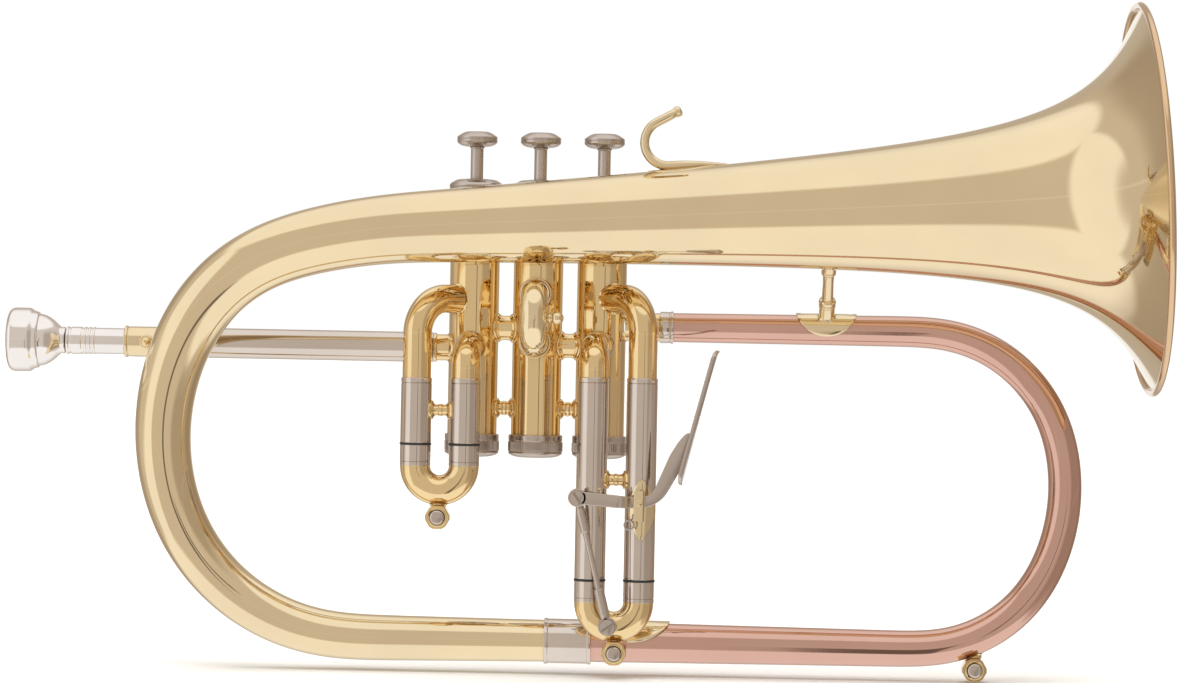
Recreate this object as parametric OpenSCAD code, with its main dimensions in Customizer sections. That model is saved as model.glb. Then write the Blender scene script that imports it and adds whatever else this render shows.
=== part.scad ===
// Flugelhorn with three piston valves, a triggered third slide and three water keys.
// Millimetres. +X towards the bell, +Z along the valves towards their buttons, -Y is the bell's side.
// The origin is on the second valve's axis, halfway along its casing.

/* [View] */
// node to draw, or all

/* [Bell] */
// height of the bell's axis where it passes the rim
bell_rim_z = 50.1; // [48:0.1:52]
// distance of the rim plane from the second valve
bell_rim_x = 235.6; // [230:0.1:240]
// how far the bell stands in front of the valves
bell_offset = 28.5; // [28:0.1:32]
// upward tilt of the bell's axis
bell_tilt = 3.3; // [2:0.1:4]
// radius at the rim
rim_r = 76.2; // [70:0.1:80]
// radius the taper would have at the rim without its flare
cone_r = 22.8; // [22:0.1:24]
// radius lost per millimetre along the taper
cone_slope = 0.037; // [0.034:0.001:0.04]
// length scale of the flare
flare_reach = 32; // [28:1:36]
// power of the flare
flare_power = 1.59; // [1.5:0.01:1.7]
// radius of the rolled rim bead
bead_r = 1.4; // [1:0.1:2]
// sheet thickness of the bell and bows
sheet = 0.7; // [0.5:0.05:1]

/* [Bows] */
// where the bell's straight taper ends and its bow begins
bow_start_x = -46.3; // [-50:0.1:-42]
// bend angles of the bell bow, in order from the bell
bell_bow_turns = [13.5, 44.8, 44.3, 74.1];
// bend radii of the bell bow
bell_bow_radii = [219.5, 62.6, 89.7, 73.9];
// where the bell bow ends in its ferrule
bell_bow_end_x = 14.5; // [12:0.1:18]
// depth of the bottom tube in front of the valves
bottom_offset = 11.3; // [10:0.1:12]
// height of the red bow's upper tube
red_top_z = -2.6; // [-4:0.1:-1]
// where the upper tube starts to bend
red_bend_x = 152.5; // [148:0.1:156]
// bend angles of the red bow, in order from the valves
red_turns = [76.9, 39.0, 64.1];
// bend radii of the red bow
red_radii = [55.3, 75.6, 54.4];
// tube radius at the valve end of the red bow
red_r0 = 5.75; // [5.5:0.05:6]
// tube radius at the ferrule end of the red bow
red_r1 = 8.1; // [7.8:0.05:8.15]
// length of the big ferrule
big_ferrule_len = 18.4; // [15:0.1:20]
// outer radius of the big ferrule
big_ferrule_r = 8.75; // [8.6:0.05:9]
// half length of the crescent foot on the upper tube
crescent_half = 12; // [10:0.5:14]
// half length of the crescent foot on the bottom tube
low_crescent_half = 15; // [12:0.5:16]

/* [Valves] */
// distance between neighbouring valves
valve_pitch = 25.15; // [24.5:0.05:26]
// outer radius of a valve casing
casing_r = 9.8; // [9.6:0.05:10]
// bore radius of a valve casing
bore_r = 8.45; // [8.3:0.01:8.6]
// radial clearance of every running fit
running_gap = 0.03; // [0.02:0.01:0.08]
// half length between the outer faces of the caps
cap_face = 54.6; // [54:0.1:56]
// outer radius of the caps
cap_r = 10.6; // [10.4:0.1:11]
// height of a top cap
top_cap_h = 10; // [9:0.5:11]
// height of a bottom cap
bottom_cap_h = 8.4; // [8:0.1:9]
// travel of a piston
valve_stroke = 12; // [11:0.1:12.3]
// length of a piston barrel
piston_len = 68; // [64:1:70]
// stem radius
stem_r = 2.5; // [2.2:0.1:2.8]
// underside of a finger button
button_z = 67.4; // [67.2:0.1:68]
// finger button radius
button_r = 8; // [7:0.1:8.5]
// finger button height
button_h = 5.9; // [5:0.1:6.5]

/* [Slides] */
// distance between the two legs of the first and third slides
leg_gap = 19.05; // [18.5:0.05:20]
// outer radius of the nickel slide sleeves
sleeve_r = 6; // [5.9:0.05:6.2]
// outer radius of the inner slide legs
leg_r = 5.4; // [5.3:0.05:5.5]
// bore radius of the slide tubing
tube_bore = 4.9; // [4.7:0.05:5.1]
// outer radius of the brass port tubes
port_r = 5.6; // [5.4:0.05:5.8]
// depth of the first slide in front of the valves
slide1_offset = 20; // [19:0.5:21]
// middle of the first slide
slide1_x = -36.5; // [-38:0.1:-35]
// top of the first slide's sleeves
slide1_top = -24; // [-26:0.1:-22]
// bottom of the first slide's sleeves
slide1_mid = -49.3; // [-51:0.1:-47]
// bottom of the first slide's ferrules
slide1_low = -58.2; // [-60:0.1:-57]
// depth of the third slide in front of the valves
slide3_offset = 27; // [26.5:0.1:28]
// middle of the third slide
slide3_x = 32.5; // [31:0.1:34]
// top of the third slide's sleeves
slide3_top = -22.6; // [-24:0.1:-21]
// bottom of the third slide's sleeves
slide3_mid = -100.5; // [-102:0.1:-99]
// bottom of the third slide's ferrules
slide3_low = -109.4; // [-111:0.1:-108]
// travel of the third slide
slide3_travel = 13; // [10:0.5:13]
// half distance between the legs of the second slide
slide2_half = 9.4; // [9:0.1:10]
// front end of the second slide's sleeves
slide2_mid = -30; // [-32:0.5:-28]
// front end of the second slide's straight legs
slide2_low = -36; // [-38:0.5:-35]

/* [Mouthpiece and mouthpipe] */
// height of the mouthpipe's axis
pipe_z = -12.15; // [-13:0.05:-11]
// rim face of the mouthpiece
mouth_x = -209; // [-212:0.5:-206]
// outer radius of the mouthpiece rim
mouth_r = 12.6; // [12:0.1:13.5]
// face of the mouthpipe's receiver
receiver_x = -186.2; // [-188:0.1:-184]
// outer radius of the sliding mouthpipe
pipe_r = 5.15; // [5:0.05:5.3]
// outer radius of the mouthpipe sleeve
pipe_sleeve_r = 5.95; // [5.8:0.05:6.2]
// free end of the mouthpipe sleeve
pipe_sleeve_x = -163.1; // [-165:0.1:-160]
// valve end of the mouthpipe sleeve
pipe_sleeve_end = -41; // [-43:0.5:-39]
// place of the lock screw
lock_x = -153.6; // [-156:0.1:-150]

/* [Trigger] */
// lever pivot across
pivot_x = 41.7; // [41:0.1:42.5]
// lever pivot height
pivot_z = -70.3; // [-72:0.1:-69]
// rod screw across, from the pivot
rod_dx = -23.8; // [-25:0.1:-23]
// rod screw height, from the pivot
rod_dz = 1.55; // [1:0.05:2]
// stud on the crook across
stud_x = 30.3; // [30:0.1:31]
// stud on the crook height
stud_z = -118.2; // [-119:0.1:-117.5]
// height of the lever's flat strip
strip_h = 4.8; // [4:0.1:5.5]
// thickness of the lever's flat strip
strip_t = 2; // [1.5:0.1:2.4]
// bend radius of the lever
lever_bend = 9.5; // [8:0.5:11]
// direction of the lever's upper arm
lever_angle = 64; // [60:1:68]
// length of the lever's upper arm
lever_arm = 24.3; // [22:0.1:26]
// length of the finger plate
plate_len = 53.5; // [48:0.5:56]
// width of the finger plate
plate_w = 12; // [10:0.5:13]
// lean of the finger plate from upright
plate_lean = 14.6; // [12:0.1:17]

/* [Finger hook] */
// where the hook's loop leaves its foot
hook_x = 50.5; // [48:0.1:54]
// radius of the loop
hook_bend = 8.9; // [8:0.1:10]
// how far the loop turns
hook_turn = 155; // [140:1:170]
// straight run to the ball end
hook_tip = 8.6; // [6:0.1:10]
// width of the hook's strip
hook_w = 5.6; // [5:0.1:7]
// thickness of the hook's strip
hook_t = 3.6; // [3:0.1:4]

/* [Water keys] */
// flats of the hexagonal body
key_flats = 9.1; // [8.5:0.1:10]
// length of the body
key_len = 12; // [11:0.5:13]
// radius of the push button
key_button_r = 2.8; // [2.5:0.1:3]
// travel of the push button
key_travel = 2; // [1.5:0.1:2.2]

/* [Hidden] */
$fn = 96;
// margin by which cutting tools overrun
over = 0.5;
flare_rise = rim_r - cone_r;
bell_len = (bell_rim_x - bow_start_x) / cos(bell_tilt);
bell_steps = 36;
bow_start_z = bell_rim_z - (bell_rim_x - bow_start_x) * tan(bell_tilt);
bow_sides = 28;
bow_step = 8;
bow_r0 = bell_r(bell_len);
bow_r1 = 8.15;
ferrule_x = bell_bow_end_x - big_ferrule_len / 2;
bow_end = walk([bow_start_x, bow_start_z], 180 + bell_tilt, 1, bell_bow_turns, bell_bow_radii, 4)[0];
red_end = walk([red_bend_x, red_top_z], 0, -1, red_turns, red_radii, 3)[0];
bottom_z = red_end[1];
red_start_x = 51.2;
casing_top = 50;
casing_bottom = -52;
piston_top = 48;
piston_bottom = piston_top - piston_len;
piston_r = bore_r - running_gap;
sleeve_bore = leg_r + running_gap;
slide_ports = [[-1, 7, 14], [1, -11.5, 8.5], [1, 8.2, 14], [-1, -10.6, 9]];
knuckle_z = [-4, -10.6];
brace_x = 113.8;
key1 = [slide1_x - 0.2, -slide1_offset, slide1_low - leg_gap / 2 - sleeve_r - 4.4];
key2 = [slide3_x + 0.4, -slide3_offset, slide3_low - leg_gap / 2 - sleeve_r - 4.1];
key3 = [173.4, -10.9, -134];
key3_lean = 23.4;
lever_y = -slide3_offset - 13.8;

// ---- shared functions ----

// bell radius at distance s behind the rim
function bell_r(s) = cone_r - cone_slope * s + flare_rise * pow(flare_reach / (flare_reach + s), flare_power);

// place and heading after the first n bends of a route in the XZ plane
function walk(p, h, side, turns, radii, n) =
  n == 0 ? [p, h] :
  let (w = walk(p, h, side, turns, radii, n - 1))
  arc_point(w[0], w[1], side, radii[n - 1], turns[n - 1]);

// place and heading after one arc
function arc_point(p, h, side, r, a) =
  [p + side * r * [-sin(h), cos(h)] - side * r * [-sin(h + side * a), cos(h + side * a)], h + side * a];

// stations along the bends: [x, z, heading, length so far]
function stations(p, h, side, turns, radii) = [
  for (i = [0:len(turns) - 1])
    let (w = walk(p, h, side, turns, radii, i), n = ceil(turns[i] / bow_step))
    for (j = [(i == 0 ? 0 : 1):n])
      let (q = arc_point(w[0], w[1], side, radii[i], turns[i] * j / n))
      [q[0][0], q[0][1], q[1], bend_length(turns, radii, i) + turns[i] * j / n * PI / 180 * radii[i]]];

// length of the first n bends
function bend_length(turns, radii, n) =
  n == 0 ? 0 : bend_length(turns, radii, n - 1) + turns[n - 1] * PI / 180 * radii[n - 1];

// eased step from 0 to 1
function ease(t) = (1 - cos(180 * min(max(t, 0), 1))) / 2;

// ring of points round one station, [x, y, z] centre, heading and radius
function ring(c, h, r) = [
  for (k = [0:bow_sides - 1])
    let (a = 360 * k / bow_sides)
    c + r * [-sin(h) * cos(a), sin(a), cos(h) * cos(a)]];

// bell bow stations: [centre, heading, radius]
function bell_bow_stations() =
  let (s = stations([bow_start_x, bow_start_z], 180 + bell_tilt, 1, bell_bow_turns, bell_bow_radii),
       total = bend_length(bell_bow_turns, bell_bow_radii, 4),
       whole = total + bell_bow_end_x - bow_end[0])
  [for (q = concat(s, [[bell_bow_end_x, bow_end[1], 360, whole]]))
    let (t = q[3] / whole)
    [[q[0], -bell_offset + (bell_offset - bottom_offset) * ease(q[3] / total), q[1] + (bottom_z - bow_end[1]) * t],
     q[2], bow_r0 + (bow_r1 - bow_r0) * (1.42 * t - 0.42 * t * t)]];

// red bow stations: [centre, heading, radius]
function red_bow_stations() =
  let (s = stations([red_bend_x, red_top_z], 0, -1, red_turns, red_radii),
       lead = red_bend_x - red_start_x,
       total = bend_length(red_turns, red_radii, 3),
       whole = lead + total + red_end[0] - bell_bow_end_x)
  [for (q = concat([[red_start_x, red_top_z, 0, -lead]], s, [[bell_bow_end_x, bottom_z, -180, whole - lead]]))
    let (t = (q[3] + lead) / whole)
    [[q[0], -bottom_offset * ease(q[3] / total), q[1]],
     q[2], red_r0 + (red_r1 - red_r0) * (0.55 * t + 0.45 * t * t)]];

// ---- shared shapes ----

// closed hollow tube through stations [centre, heading, radius]
module swept_tube(path) {
  n = len(path);
  m = bow_sides;
  outer = [for (q = path) each ring(q[0], q[1], q[2])];
  inner = [for (q = path) each ring(q[0], q[1], q[2] - sheet)];
  wall = [for (i = [0:n - 2]) for (k = [0:m - 1])
    let (a = i * m + k, b = i * m + (k + 1) % m)
    each [[a, b, b + m], [a, b + m, a + m]]];
  skin = [for (f = wall) [f[2] + n * m, f[1] + n * m, f[0] + n * m]];
  start = [for (k = [0:m - 1])
    let (a = k, b = (k + 1) % m)
    each [[a, a + n * m, b], [b, a + n * m, b + n * m]]];
  e = (n - 1) * m;
  end = [for (k = [0:m - 1])
    let (a = e + k, b = e + (k + 1) % m)
    each [[a, b, a + n * m], [b, b + n * m, a + n * m]]];
  polyhedron(points = concat(outer, inner), faces = concat(wall, skin, start, end));
}

// straight rod from p to q
module rod(p, q, r) {
  d = q - p;
  translate(p)
    rotate([0, acos(d[2] / norm(d)), atan2(d[1], d[0])])
      cylinder(r = r, h = norm(d));
}

// cylinder along +X
module x_rod(x0, x1, r) {
  translate([x0, 0, 0])
    rotate([0, 90, 0])
      cylinder(r = r, h = x1 - x0);
}

// cylinder along -Y, from front face y0 back to y1
module y_rod(y0, y1, r) {
  translate([0, y1, 0])
    rotate([90, 0, 0])
      cylinder(r = r, h = y1 - y0);
}

// tube standing on z0
module pipe(z0, z1, r_out, r_in) {
  difference() {
    translate([0, 0, z0])
      cylinder(r = r_out, h = z1 - z0);
    translate([0, 0, z0 - over])
      cylinder(r = r_in, h = z1 - z0 + 2 * over);
  }
}

// bent rod: up from z_end, through a quarter bend, then along +X at height z_port
module bent_rod(z_end, z_port, bend, reach, r) {
  translate([0, 0, z_end])
    cylinder(r = r, h = z_port - bend - z_end);
  translate([bend, 0, z_port - bend])
    rotate([90, 0, 0])
      rotate([0, 0, 90])
        rotate_extrude(angle = 90)
          translate([bend, 0])
            circle(r);
  translate([bend, 0, z_port])
    rotate([0, 90, 0])
      cylinder(r = r, h = reach - bend);
}

// port tube from a valve at vx down to a slide leg at [lx, ly]
module port_tube(vx, lx, ly, z_end, z_port, bend) {
  reach = norm([vx - lx, -ly]);
  difference() {
    translate([lx, ly, 0])
      rotate([0, 0, atan2(-ly, vx - lx)])
        difference() {
          bent_rod(z_end, z_port, bend, reach, port_r);
          bent_rod(z_end - over, z_port, bend, reach, tube_bore);
        }
    translate([vx, 0, z_port - 20])
      cylinder(r = casing_r, h = 40);
  }
}

// half ring below the XY plane, bending about Y
module half_ring(bend, r) {
  rotate([90, 0, 0])
    rotate([0, 0, 180])
      rotate_extrude(angle = 180)
        translate([bend, 0])
          circle(r);
}

// hollow slide crook hanging below the XY plane
module crook(bend) {
  difference() {
    half_ring(bend, sleeve_r - 0.1);
    half_ring(bend, tube_bore);
  }
}

// inner slide leg with its ferrule, hanging from z_top
module slide_leg(z_top, z_ring, z_low) {
  difference() {
    union() {
      translate([0, 0, z_low])
        cylinder(r = leg_r, h = z_top - z_low);
      translate([0, 0, z_low])
        cylinder(r = sleeve_r, h = z_ring - z_low);
    }
    translate([0, 0, z_low - over])
      cylinder(r = tube_bore, h = z_top - z_low + 2 * over);
  }
}

// both legs of a slide
module pair(x, y) {
  for (s = [-1, 1])
    translate([x + s * leg_gap / 2, y, 0])
      children();
}

// spool shaped brace along X between two round walls of radius r_wall at x0 and x1
module spool(x0, x1, r, r_wall) {
  difference() {
    union() {
      x_rod(x0, x1, r);
      x_rod(x0 + r_wall - 1, x0 + r_wall + 1.1, r * 1.45);
      x_rod(x1 - r_wall - 1.1, x1 - r_wall + 1, r * 1.45);
    }
    for (x = [x0, x1])
      translate([x, 0, -10])
        cylinder(r = r_wall, h = 20);
  }
}

// crescent foot over the top of a tube along X, half length a and depth d
module crescent(r, a, d) {
  cut = (a * a + d * d) / (2 * d);
  intersection() {
    difference() {
      x_rod(-a, a, r + 0.8);
      x_rod(-a - over, a + over, r + 0.06);
    }
    translate([0, 0, r + cut - d])
      y_rod(-r - 5, r + 5, cut);
  }
}

// hexagonal water key body along Y with a neck up to the tube
module water_key(neck_h) {
  difference() {
    union() {
      rotate([90, 0, 0])
        cylinder(d = key_flats / cos(30), h = key_len, center = true, $fn = 6);
      cylinder(r = 2.9, h = neck_h);
    }
    y_rod(-key_len / 2 - over, key_len / 2 - 2.5, key_button_r + running_gap);
    translate([0, 0, -0.01])
      cylinder(r = 1.6, h = neck_h + over);
  }
}

// push button of a water key, in its body's frame
module key_button() {
  y_rod(-key_len / 2 - key_travel - 0.2, -key_len / 2 + 7, key_button_r);
}

// shape swept by the bell's outer skin, for cutting what meets it
module bell_solid() {
  translate([bell_rim_x, -bell_offset, bell_rim_z])
    rotate([0, -90 - bell_tilt, 0])
      rotate_extrude()
        polygon(concat([[0, bell_len]], [[0, 30]],
          [for (i = [4:bell_steps]) let (s = station_s(i)) [bell_r(s), s]]));
}

// distance behind the rim of bell station i, closer together near the rim
function station_s(i) = bell_len * pow(i / bell_steps, 2.2);

// ---- bell ----

// outline of the bell's sheet, as [radius, distance behind the rim]
function bell_outline() = concat(
  [for (i = [0:bell_steps]) let (s = station_s(i)) [bell_r(s), s]],
  [for (i = [bell_steps:-1:0]) let (s = station_s(i)) [bell_r(s + sheet * 0.6) - sheet, s]]);

module bell_flare() {
  color([0.86, 0.74, 0.48])
    translate([bell_rim_x, -bell_offset, bell_rim_z])
      rotate([0, -90 - bell_tilt, 0])
        union() {
          rotate_extrude()
            polygon(bell_outline());
          rotate_extrude()
            translate([rim_r - bead_r, bead_r * 0.9])
              circle(bead_r);
        }
}

module bell_bow() {
  color([0.86, 0.74, 0.48])
    swept_tube(bell_bow_stations());
}

module red_brass_bow() {
  color([0.82, 0.56, 0.46])
    swept_tube(red_bow_stations());
}

module bow_ferrules() {
  color([0.78, 0.75, 0.68]) {
    translate([ferrule_x, -bottom_offset, bottom_z])
      difference() {
        union() {
          x_rod(0, big_ferrule_len, big_ferrule_r);
          for (x = [0.4, big_ferrule_len - 1.6])
            x_rod(x, x + 1.2, big_ferrule_r + 0.2);
        }
        x_rod(-over, big_ferrule_len + over, 8.4);
      }
    translate([48.4, 0, red_top_z])
      difference() {
        union() {
          x_rod(0, 5.2, 6.15);
          x_rod(4, 5.2, 6.4);
        }
        x_rod(-over, 6, red_r0 + 0.08);
      }
  }
}

// ---- braces ----

module bell_brace() {
  // the brace lies in the YZ plane, on the line between the bell's and the tube's axes
  s = (bell_rim_x - brace_x) / cos(bell_tilt);
  from = [brace_x, -bell_offset, bell_rim_z - (bell_rim_x - brace_x) * tan(bell_tilt)];
  to = [brace_x, 0, red_top_z];
  dir = (to - from) / norm(to - from);
  top = from + dir * (bell_r(s) - 1);
  low = to - dir * 6;
  color([0.86, 0.74, 0.48])
    difference() {
      union() {
        rod(top, low, 2.2);
        rod(top, top + dir * 8.6, 2.9);
        rod(low - dir * 5.6, low, 3.1);
        rod(low - dir * 6.4, low - dir * 5.2, 3.4);
      }
      bell_solid();
      translate([brace_x - 20, 0, red_top_z])
        x_rod(0, 40, 6.75);
    }
}

module brace_crescents() {
  color([0.86, 0.74, 0.48]) {
    translate([brace_x, 0, red_top_z])
      crescent(5.95, crescent_half, 8.2);
    translate([39.5, -bottom_offset, bottom_z])
      crescent(8, low_crescent_half, 7.4);
  }
}

// stay from the bottom tube's crescent up to the third slide's sleeve
module slide_stay() {
  leg = [slide3_x + leg_gap / 2, -slide3_offset];
  foot = [38.6, -bottom_offset - 0.6, bottom_z + 7];
  elbow = [leg[0] - 1.6, leg[1] + 11.5, -99];
  head = [leg[0] - 1, leg[1] + 5, -92];
  color([0.86, 0.74, 0.48])
    difference() {
      union() {
        rod(foot, elbow, 2.2);
        translate(elbow)
          sphere(2.6);
        rod(elbow, head, 2.2);
        rod(foot, foot + [0.4, 0, 5], 2.9);
      }
      translate([leg[0], leg[1], -120])
        cylinder(r = sleeve_r, h = 100);
      translate([0, -bottom_offset, bottom_z])
        x_rod(0, 80, 8.8);
    }
}

module finger_hook() {
  foot_len = 24;
  foot_z = bell_rim_z - (bell_rim_x - hook_x) * tan(bell_tilt);
  top = foot_z + bell_r((bell_rim_x - hook_x) / cos(bell_tilt)) + 1.95;
  color([0.86, 0.74, 0.48]) {
    difference() {
      union() {
        translate([hook_x, -bell_offset, top])
          rotate([0, -bell_tilt, 0]) {
            translate([0, -hook_w / 2, -hook_t / 2])
              cube([foot_len, hook_w, hook_t]);
            translate([-6.5, -hook_w * 0.8, -hook_t / 2 - 0.8])
              cube([foot_len * 0.8, hook_w * 1.6, 1.6]);
          }
      }
      bell_solid();
    }
    translate([hook_x, -bell_offset, top])
      rotate([0, -bell_tilt, 0])
        translate([0, 0, hook_bend])
          rotate([90, 0, 0]) {
            rotate([0, 0, 270 - hook_turn])
              rotate_extrude(angle = hook_turn)
                translate([hook_bend - hook_t / 2, -hook_w / 2])
                  square([hook_t, hook_w]);
            rotate([0, 0, 270 - hook_turn])
              translate([hook_bend, 0, 0]) {
                translate([-hook_t / 2, -hook_tip, -hook_w / 2])
                  cube([hook_t, hook_tip + 0.01, hook_w]);
                translate([0, -hook_tip, 0])
                  sphere(hook_w / 2 + 0.1);
              }
          }
  }
}

// short stays that hold the bell to the outer casings
module bell_stays() {
  color([0.86, 0.74, 0.48])
    for (s = [-1, 1])
      let (x = s * valve_pitch)
        difference() {
          translate([x, 0, bell_rim_z - (bell_rim_x - x) * tan(bell_tilt)])
            y_rod(-bell_offset, 0, 3.2);
          bell_solid();
          translate([x, 0, 0])
            cylinder(r = casing_r, h = 60);
        }
}

module spool_braces() {
  color([0.86, 0.70, 0.36]) {
    for (s = [-1, 0])
      translate([0, 0, -35.6])
        spool(s * valve_pitch, (s + 1) * valve_pitch, 2.6, casing_r);
    translate([0, -slide1_offset, -36.5])
      spool(slide1_x - leg_gap / 2, slide1_x + leg_gap / 2, 2.5, sleeve_r);
    translate([0, -slide3_offset, -62.1])
      spool(slide3_x - leg_gap / 2, slide3_x + leg_gap / 2, 2.5, sleeve_r);
  }
}

// ---- valves ----

// valve casing i (-1, 0, 1) with its ports drilled
module casing(i) {
  color([0.86, 0.70, 0.36])
    translate([i * valve_pitch, 0, 0])
      difference() {
        pipe(casing_bottom, casing_top, casing_r, bore_r);
        casing_ports(i);
      }
}

// bores through one casing's wall, and only through the walls they serve
module casing_ports(i) {
  if (i == -1) {
    translate([0, 0, pipe_z])
      x_rod(-12, 0, tube_bore);
    port_bore(slide1_x - leg_gap / 2 + valve_pitch, -slide1_offset, slide_ports[0][1]);
    port_bore(slide1_x + leg_gap / 2 + valve_pitch, -slide1_offset, slide_ports[1][1]);
  }
  if (i == 0)
    for (s = [-1, 1])
      port_bore(0, -1, s * slide2_half);
  if (i == 1) {
    translate([0, 0, red_top_z])
      x_rod(0, 12, tube_bore);
    port_bore(slide3_x + leg_gap / 2 - valve_pitch, -slide3_offset, slide_ports[2][1]);
    port_bore(slide3_x - leg_gap / 2 - valve_pitch, -slide3_offset, slide_ports[3][1]);
  }
  if (i < 1)
    translate([0, 0, knuckle_z[i + 1]])
      x_rod(0, 12, tube_bore);
  if (i > -1)
    translate([0, 0, knuckle_z[i]])
      x_rod(-12, 0, tube_bore);
}

// bore from the valve's axis towards [x, y] at height z
module port_bore(x, y, z) {
  translate([0, 0, z])
    rotate([0, 0, atan2(y, x)])
      x_rod(0, 12, tube_bore);
}

module casing_1() {
  casing(-1);
}

module casing_2() {
  casing(0);
}

module casing_3() {
  casing(1);
}

// short tubes that join neighbouring casings
module knuckles() {
  color([0.86, 0.70, 0.36])
    for (i = [0, 1])
      translate([(i - 1) * valve_pitch, 0, knuckle_z[i]])
        difference() {
          union() {
            x_rod(0, valve_pitch, 5.1);
            x_rod(casing_r - 0.5, casing_r + 1, port_r);
            x_rod(valve_pitch - casing_r - 1, valve_pitch - casing_r + 0.5, port_r);
          }
          x_rod(-over, valve_pitch + over, tube_bore - 0.4);
          for (x = [0, valve_pitch])
            translate([x, 0, -10])
              cylinder(r = casing_r, h = 20);
        }
}

// brass stubs: mouthpipe into the first valve, third valve out to the red bow
module stub_tubes() {
  color([0.86, 0.70, 0.36])
    difference() {
      union() {
        translate([0, 0, pipe_z]) {
          x_rod(pipe_sleeve_end, -valve_pitch, 5.2);
          x_rod(-valve_pitch - casing_r - 1.2, -valve_pitch - casing_r + 0.5, port_r);
        }
        translate([0, 0, red_top_z]) {
          x_rod(valve_pitch, 48.4, port_r);
          x_rod(valve_pitch, red_start_x, red_r0 - 0.02);
        }
      }
      translate([0, 0, pipe_z])
        x_rod(pipe_sleeve_end - over, 0, tube_bore - 0.3);
      translate([0, 0, red_top_z])
        x_rod(0, 60, tube_bore);
      for (s = [-1, 1])
        translate([s * valve_pitch, 0, -30])
          cylinder(r = casing_r, h = 60);
    }
}

// knurled top caps with a rounded shoulder
module top_caps() {
  shoulder = 3.4;
  color([0.72, 0.69, 0.65])
    for (i = [-1:1])
      translate([i * valve_pitch, 0, 0])
        difference() {
          union() {
            rotate_extrude()
              polygon(concat([[0, cap_face - top_cap_h], [cap_r, cap_face - top_cap_h]],
                [for (a = [0:15:90]) [cap_r - shoulder + shoulder * cos(a), cap_face - shoulder + shoulder * sin(a)]],
                [[0, cap_face]]));
          }
          translate([0, 0, cap_face - top_cap_h - over])
            cylinder(r = casing_r, h = casing_top - cap_face + top_cap_h + over);
          translate([0, 0, casing_top - over])
            cylinder(r = bore_r, h = 1.8 + over);
          cylinder(r = stem_r + 0.35, h = 80);
        }
}

// knurled bottom caps with a bevelled foot and a vent
module bottom_caps() {
  color([0.72, 0.69, 0.65])
    for (i = [-1:1])
      translate([i * valve_pitch, 0, -cap_face])
        difference() {
          rotate_extrude()
            polygon([[0, 0], [cap_r - 3.2, 0], [cap_r - 1, 1.2], [cap_r, 3], [cap_r, bottom_cap_h], [0, bottom_cap_h]]);
          translate([0, 0, casing_bottom + cap_face])
            cylinder(r = casing_r, h = 20);
          translate([0, 0, -over])
            cylinder(r = 1.5, h = 10);
        }
}

// piston barrel with its passages
module piston(i) {
  color([0.75, 0.74, 0.72])
    translate([i * valve_pitch, 0, 0])
      difference() {
        translate([0, 0, piston_bottom])
          cylinder(r = piston_r, h = piston_len);
        translate([0, 0, piston_bottom + 8])
          cylinder(r = piston_r - 2.6, h = 4);
        for (z = [-12.2, -1, 10.2, 26])
          translate([0, 0, z])
            rotate([0, 0, z * 7])
              x_rod(-12, 12, 4.5);
        translate([0, 0, 36])
          cylinder(r = piston_r - 0.8, h = 8);
        translate([0, 0, 43])
          cylinder(r = 2, h = 10);
      }
}

module piston_1() {
  piston(-1);
}

module piston_2() {
  piston(0);
}

module piston_3() {
  piston(1);
}

// stem, threaded into the piston below and into the button above
module stem(i) {
  color([0.75, 0.72, 0.68])
    translate([i * valve_pitch, 0, 0]) {
      translate([0, 0, 44])
        cylinder(r = 2, h = piston_top - 44);
      translate([0, 0, piston_top])
        cylinder(r = stem_r, h = button_z - piston_top);
      translate([0, 0, piston_top])
        cylinder(r = 5.5, h = 2.4);
      translate([0, 0, button_z])
        cylinder(r = 1.6, h = 3);
    }
}

module stem_1() {
  stem(-1);
}

module stem_2() {
  stem(0);
}

module stem_3() {
  stem(1);
}

// finger button with a raised band and a dished top
module button(i) {
  color([0.72, 0.69, 0.65])
    translate([i * valve_pitch, 0, button_z])
      difference() {
        rotate_extrude()
          polygon([[0, 0], [button_r - 1.6, 0], [button_r - 0.4, 0.8], [button_r, 2.2], [button_r, 3.2],
            [button_r - 0.5, 4.4], [button_r - 2, 5.5], [button_r - 3.8, button_h], [0, button_h - 0.5]]);
        translate([0, 0, -over])
          cylinder(r = 1.6, h = 3 + over);
      }
}

module button_1() {
  button(-1);
}

module button_2() {
  button(0);
}

module button_3() {
  button(1);
}

// return spring below the piston, drawn as separate coils joined by a slim wire
module spring(i) {
  wire = 0.6;
  bottom = casing_bottom + 0.7;
  top = piston_bottom - 0.7;
  coils = 7;
  color([0.6, 0.6, 0.6])
    translate([i * valve_pitch, 0, 0]) {
      for (k = [0:coils - 1])
        translate([0, 0, bottom + (top - bottom) * k / (coils - 1)])
          rotate_extrude()
            translate([6.2, 0])
              circle(wire);
      translate([6.2, 0, bottom])
        cylinder(r = wire * 0.8, h = top - bottom);
    }
}

module spring_1() {
  spring(-1);
}

module spring_2() {
  spring(0);
}

module spring_3() {
  spring(1);
}

// ---- first slide ----

module slide_1_ports() {
  color([0.86, 0.70, 0.36])
    for (k = [0, 1])
      port_tube(-valve_pitch, slide1_x + slide_ports[k][0] * leg_gap / 2, -slide1_offset, slide1_top,
        slide_ports[k][1], slide_ports[k][2]);
}

module slide_1_sleeves() {
  color([0.78, 0.75, 0.70])
    pair(slide1_x, -slide1_offset) {
      pipe(slide1_mid, slide1_top, sleeve_r, sleeve_bore);
    }
}

module slide_1_legs() {
  color([0.78, 0.75, 0.70])
    pair(slide1_x, -slide1_offset) {
      slide_leg(slide1_top - 1.5, slide1_mid - 0.8, slide1_low);
    }
}

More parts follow.
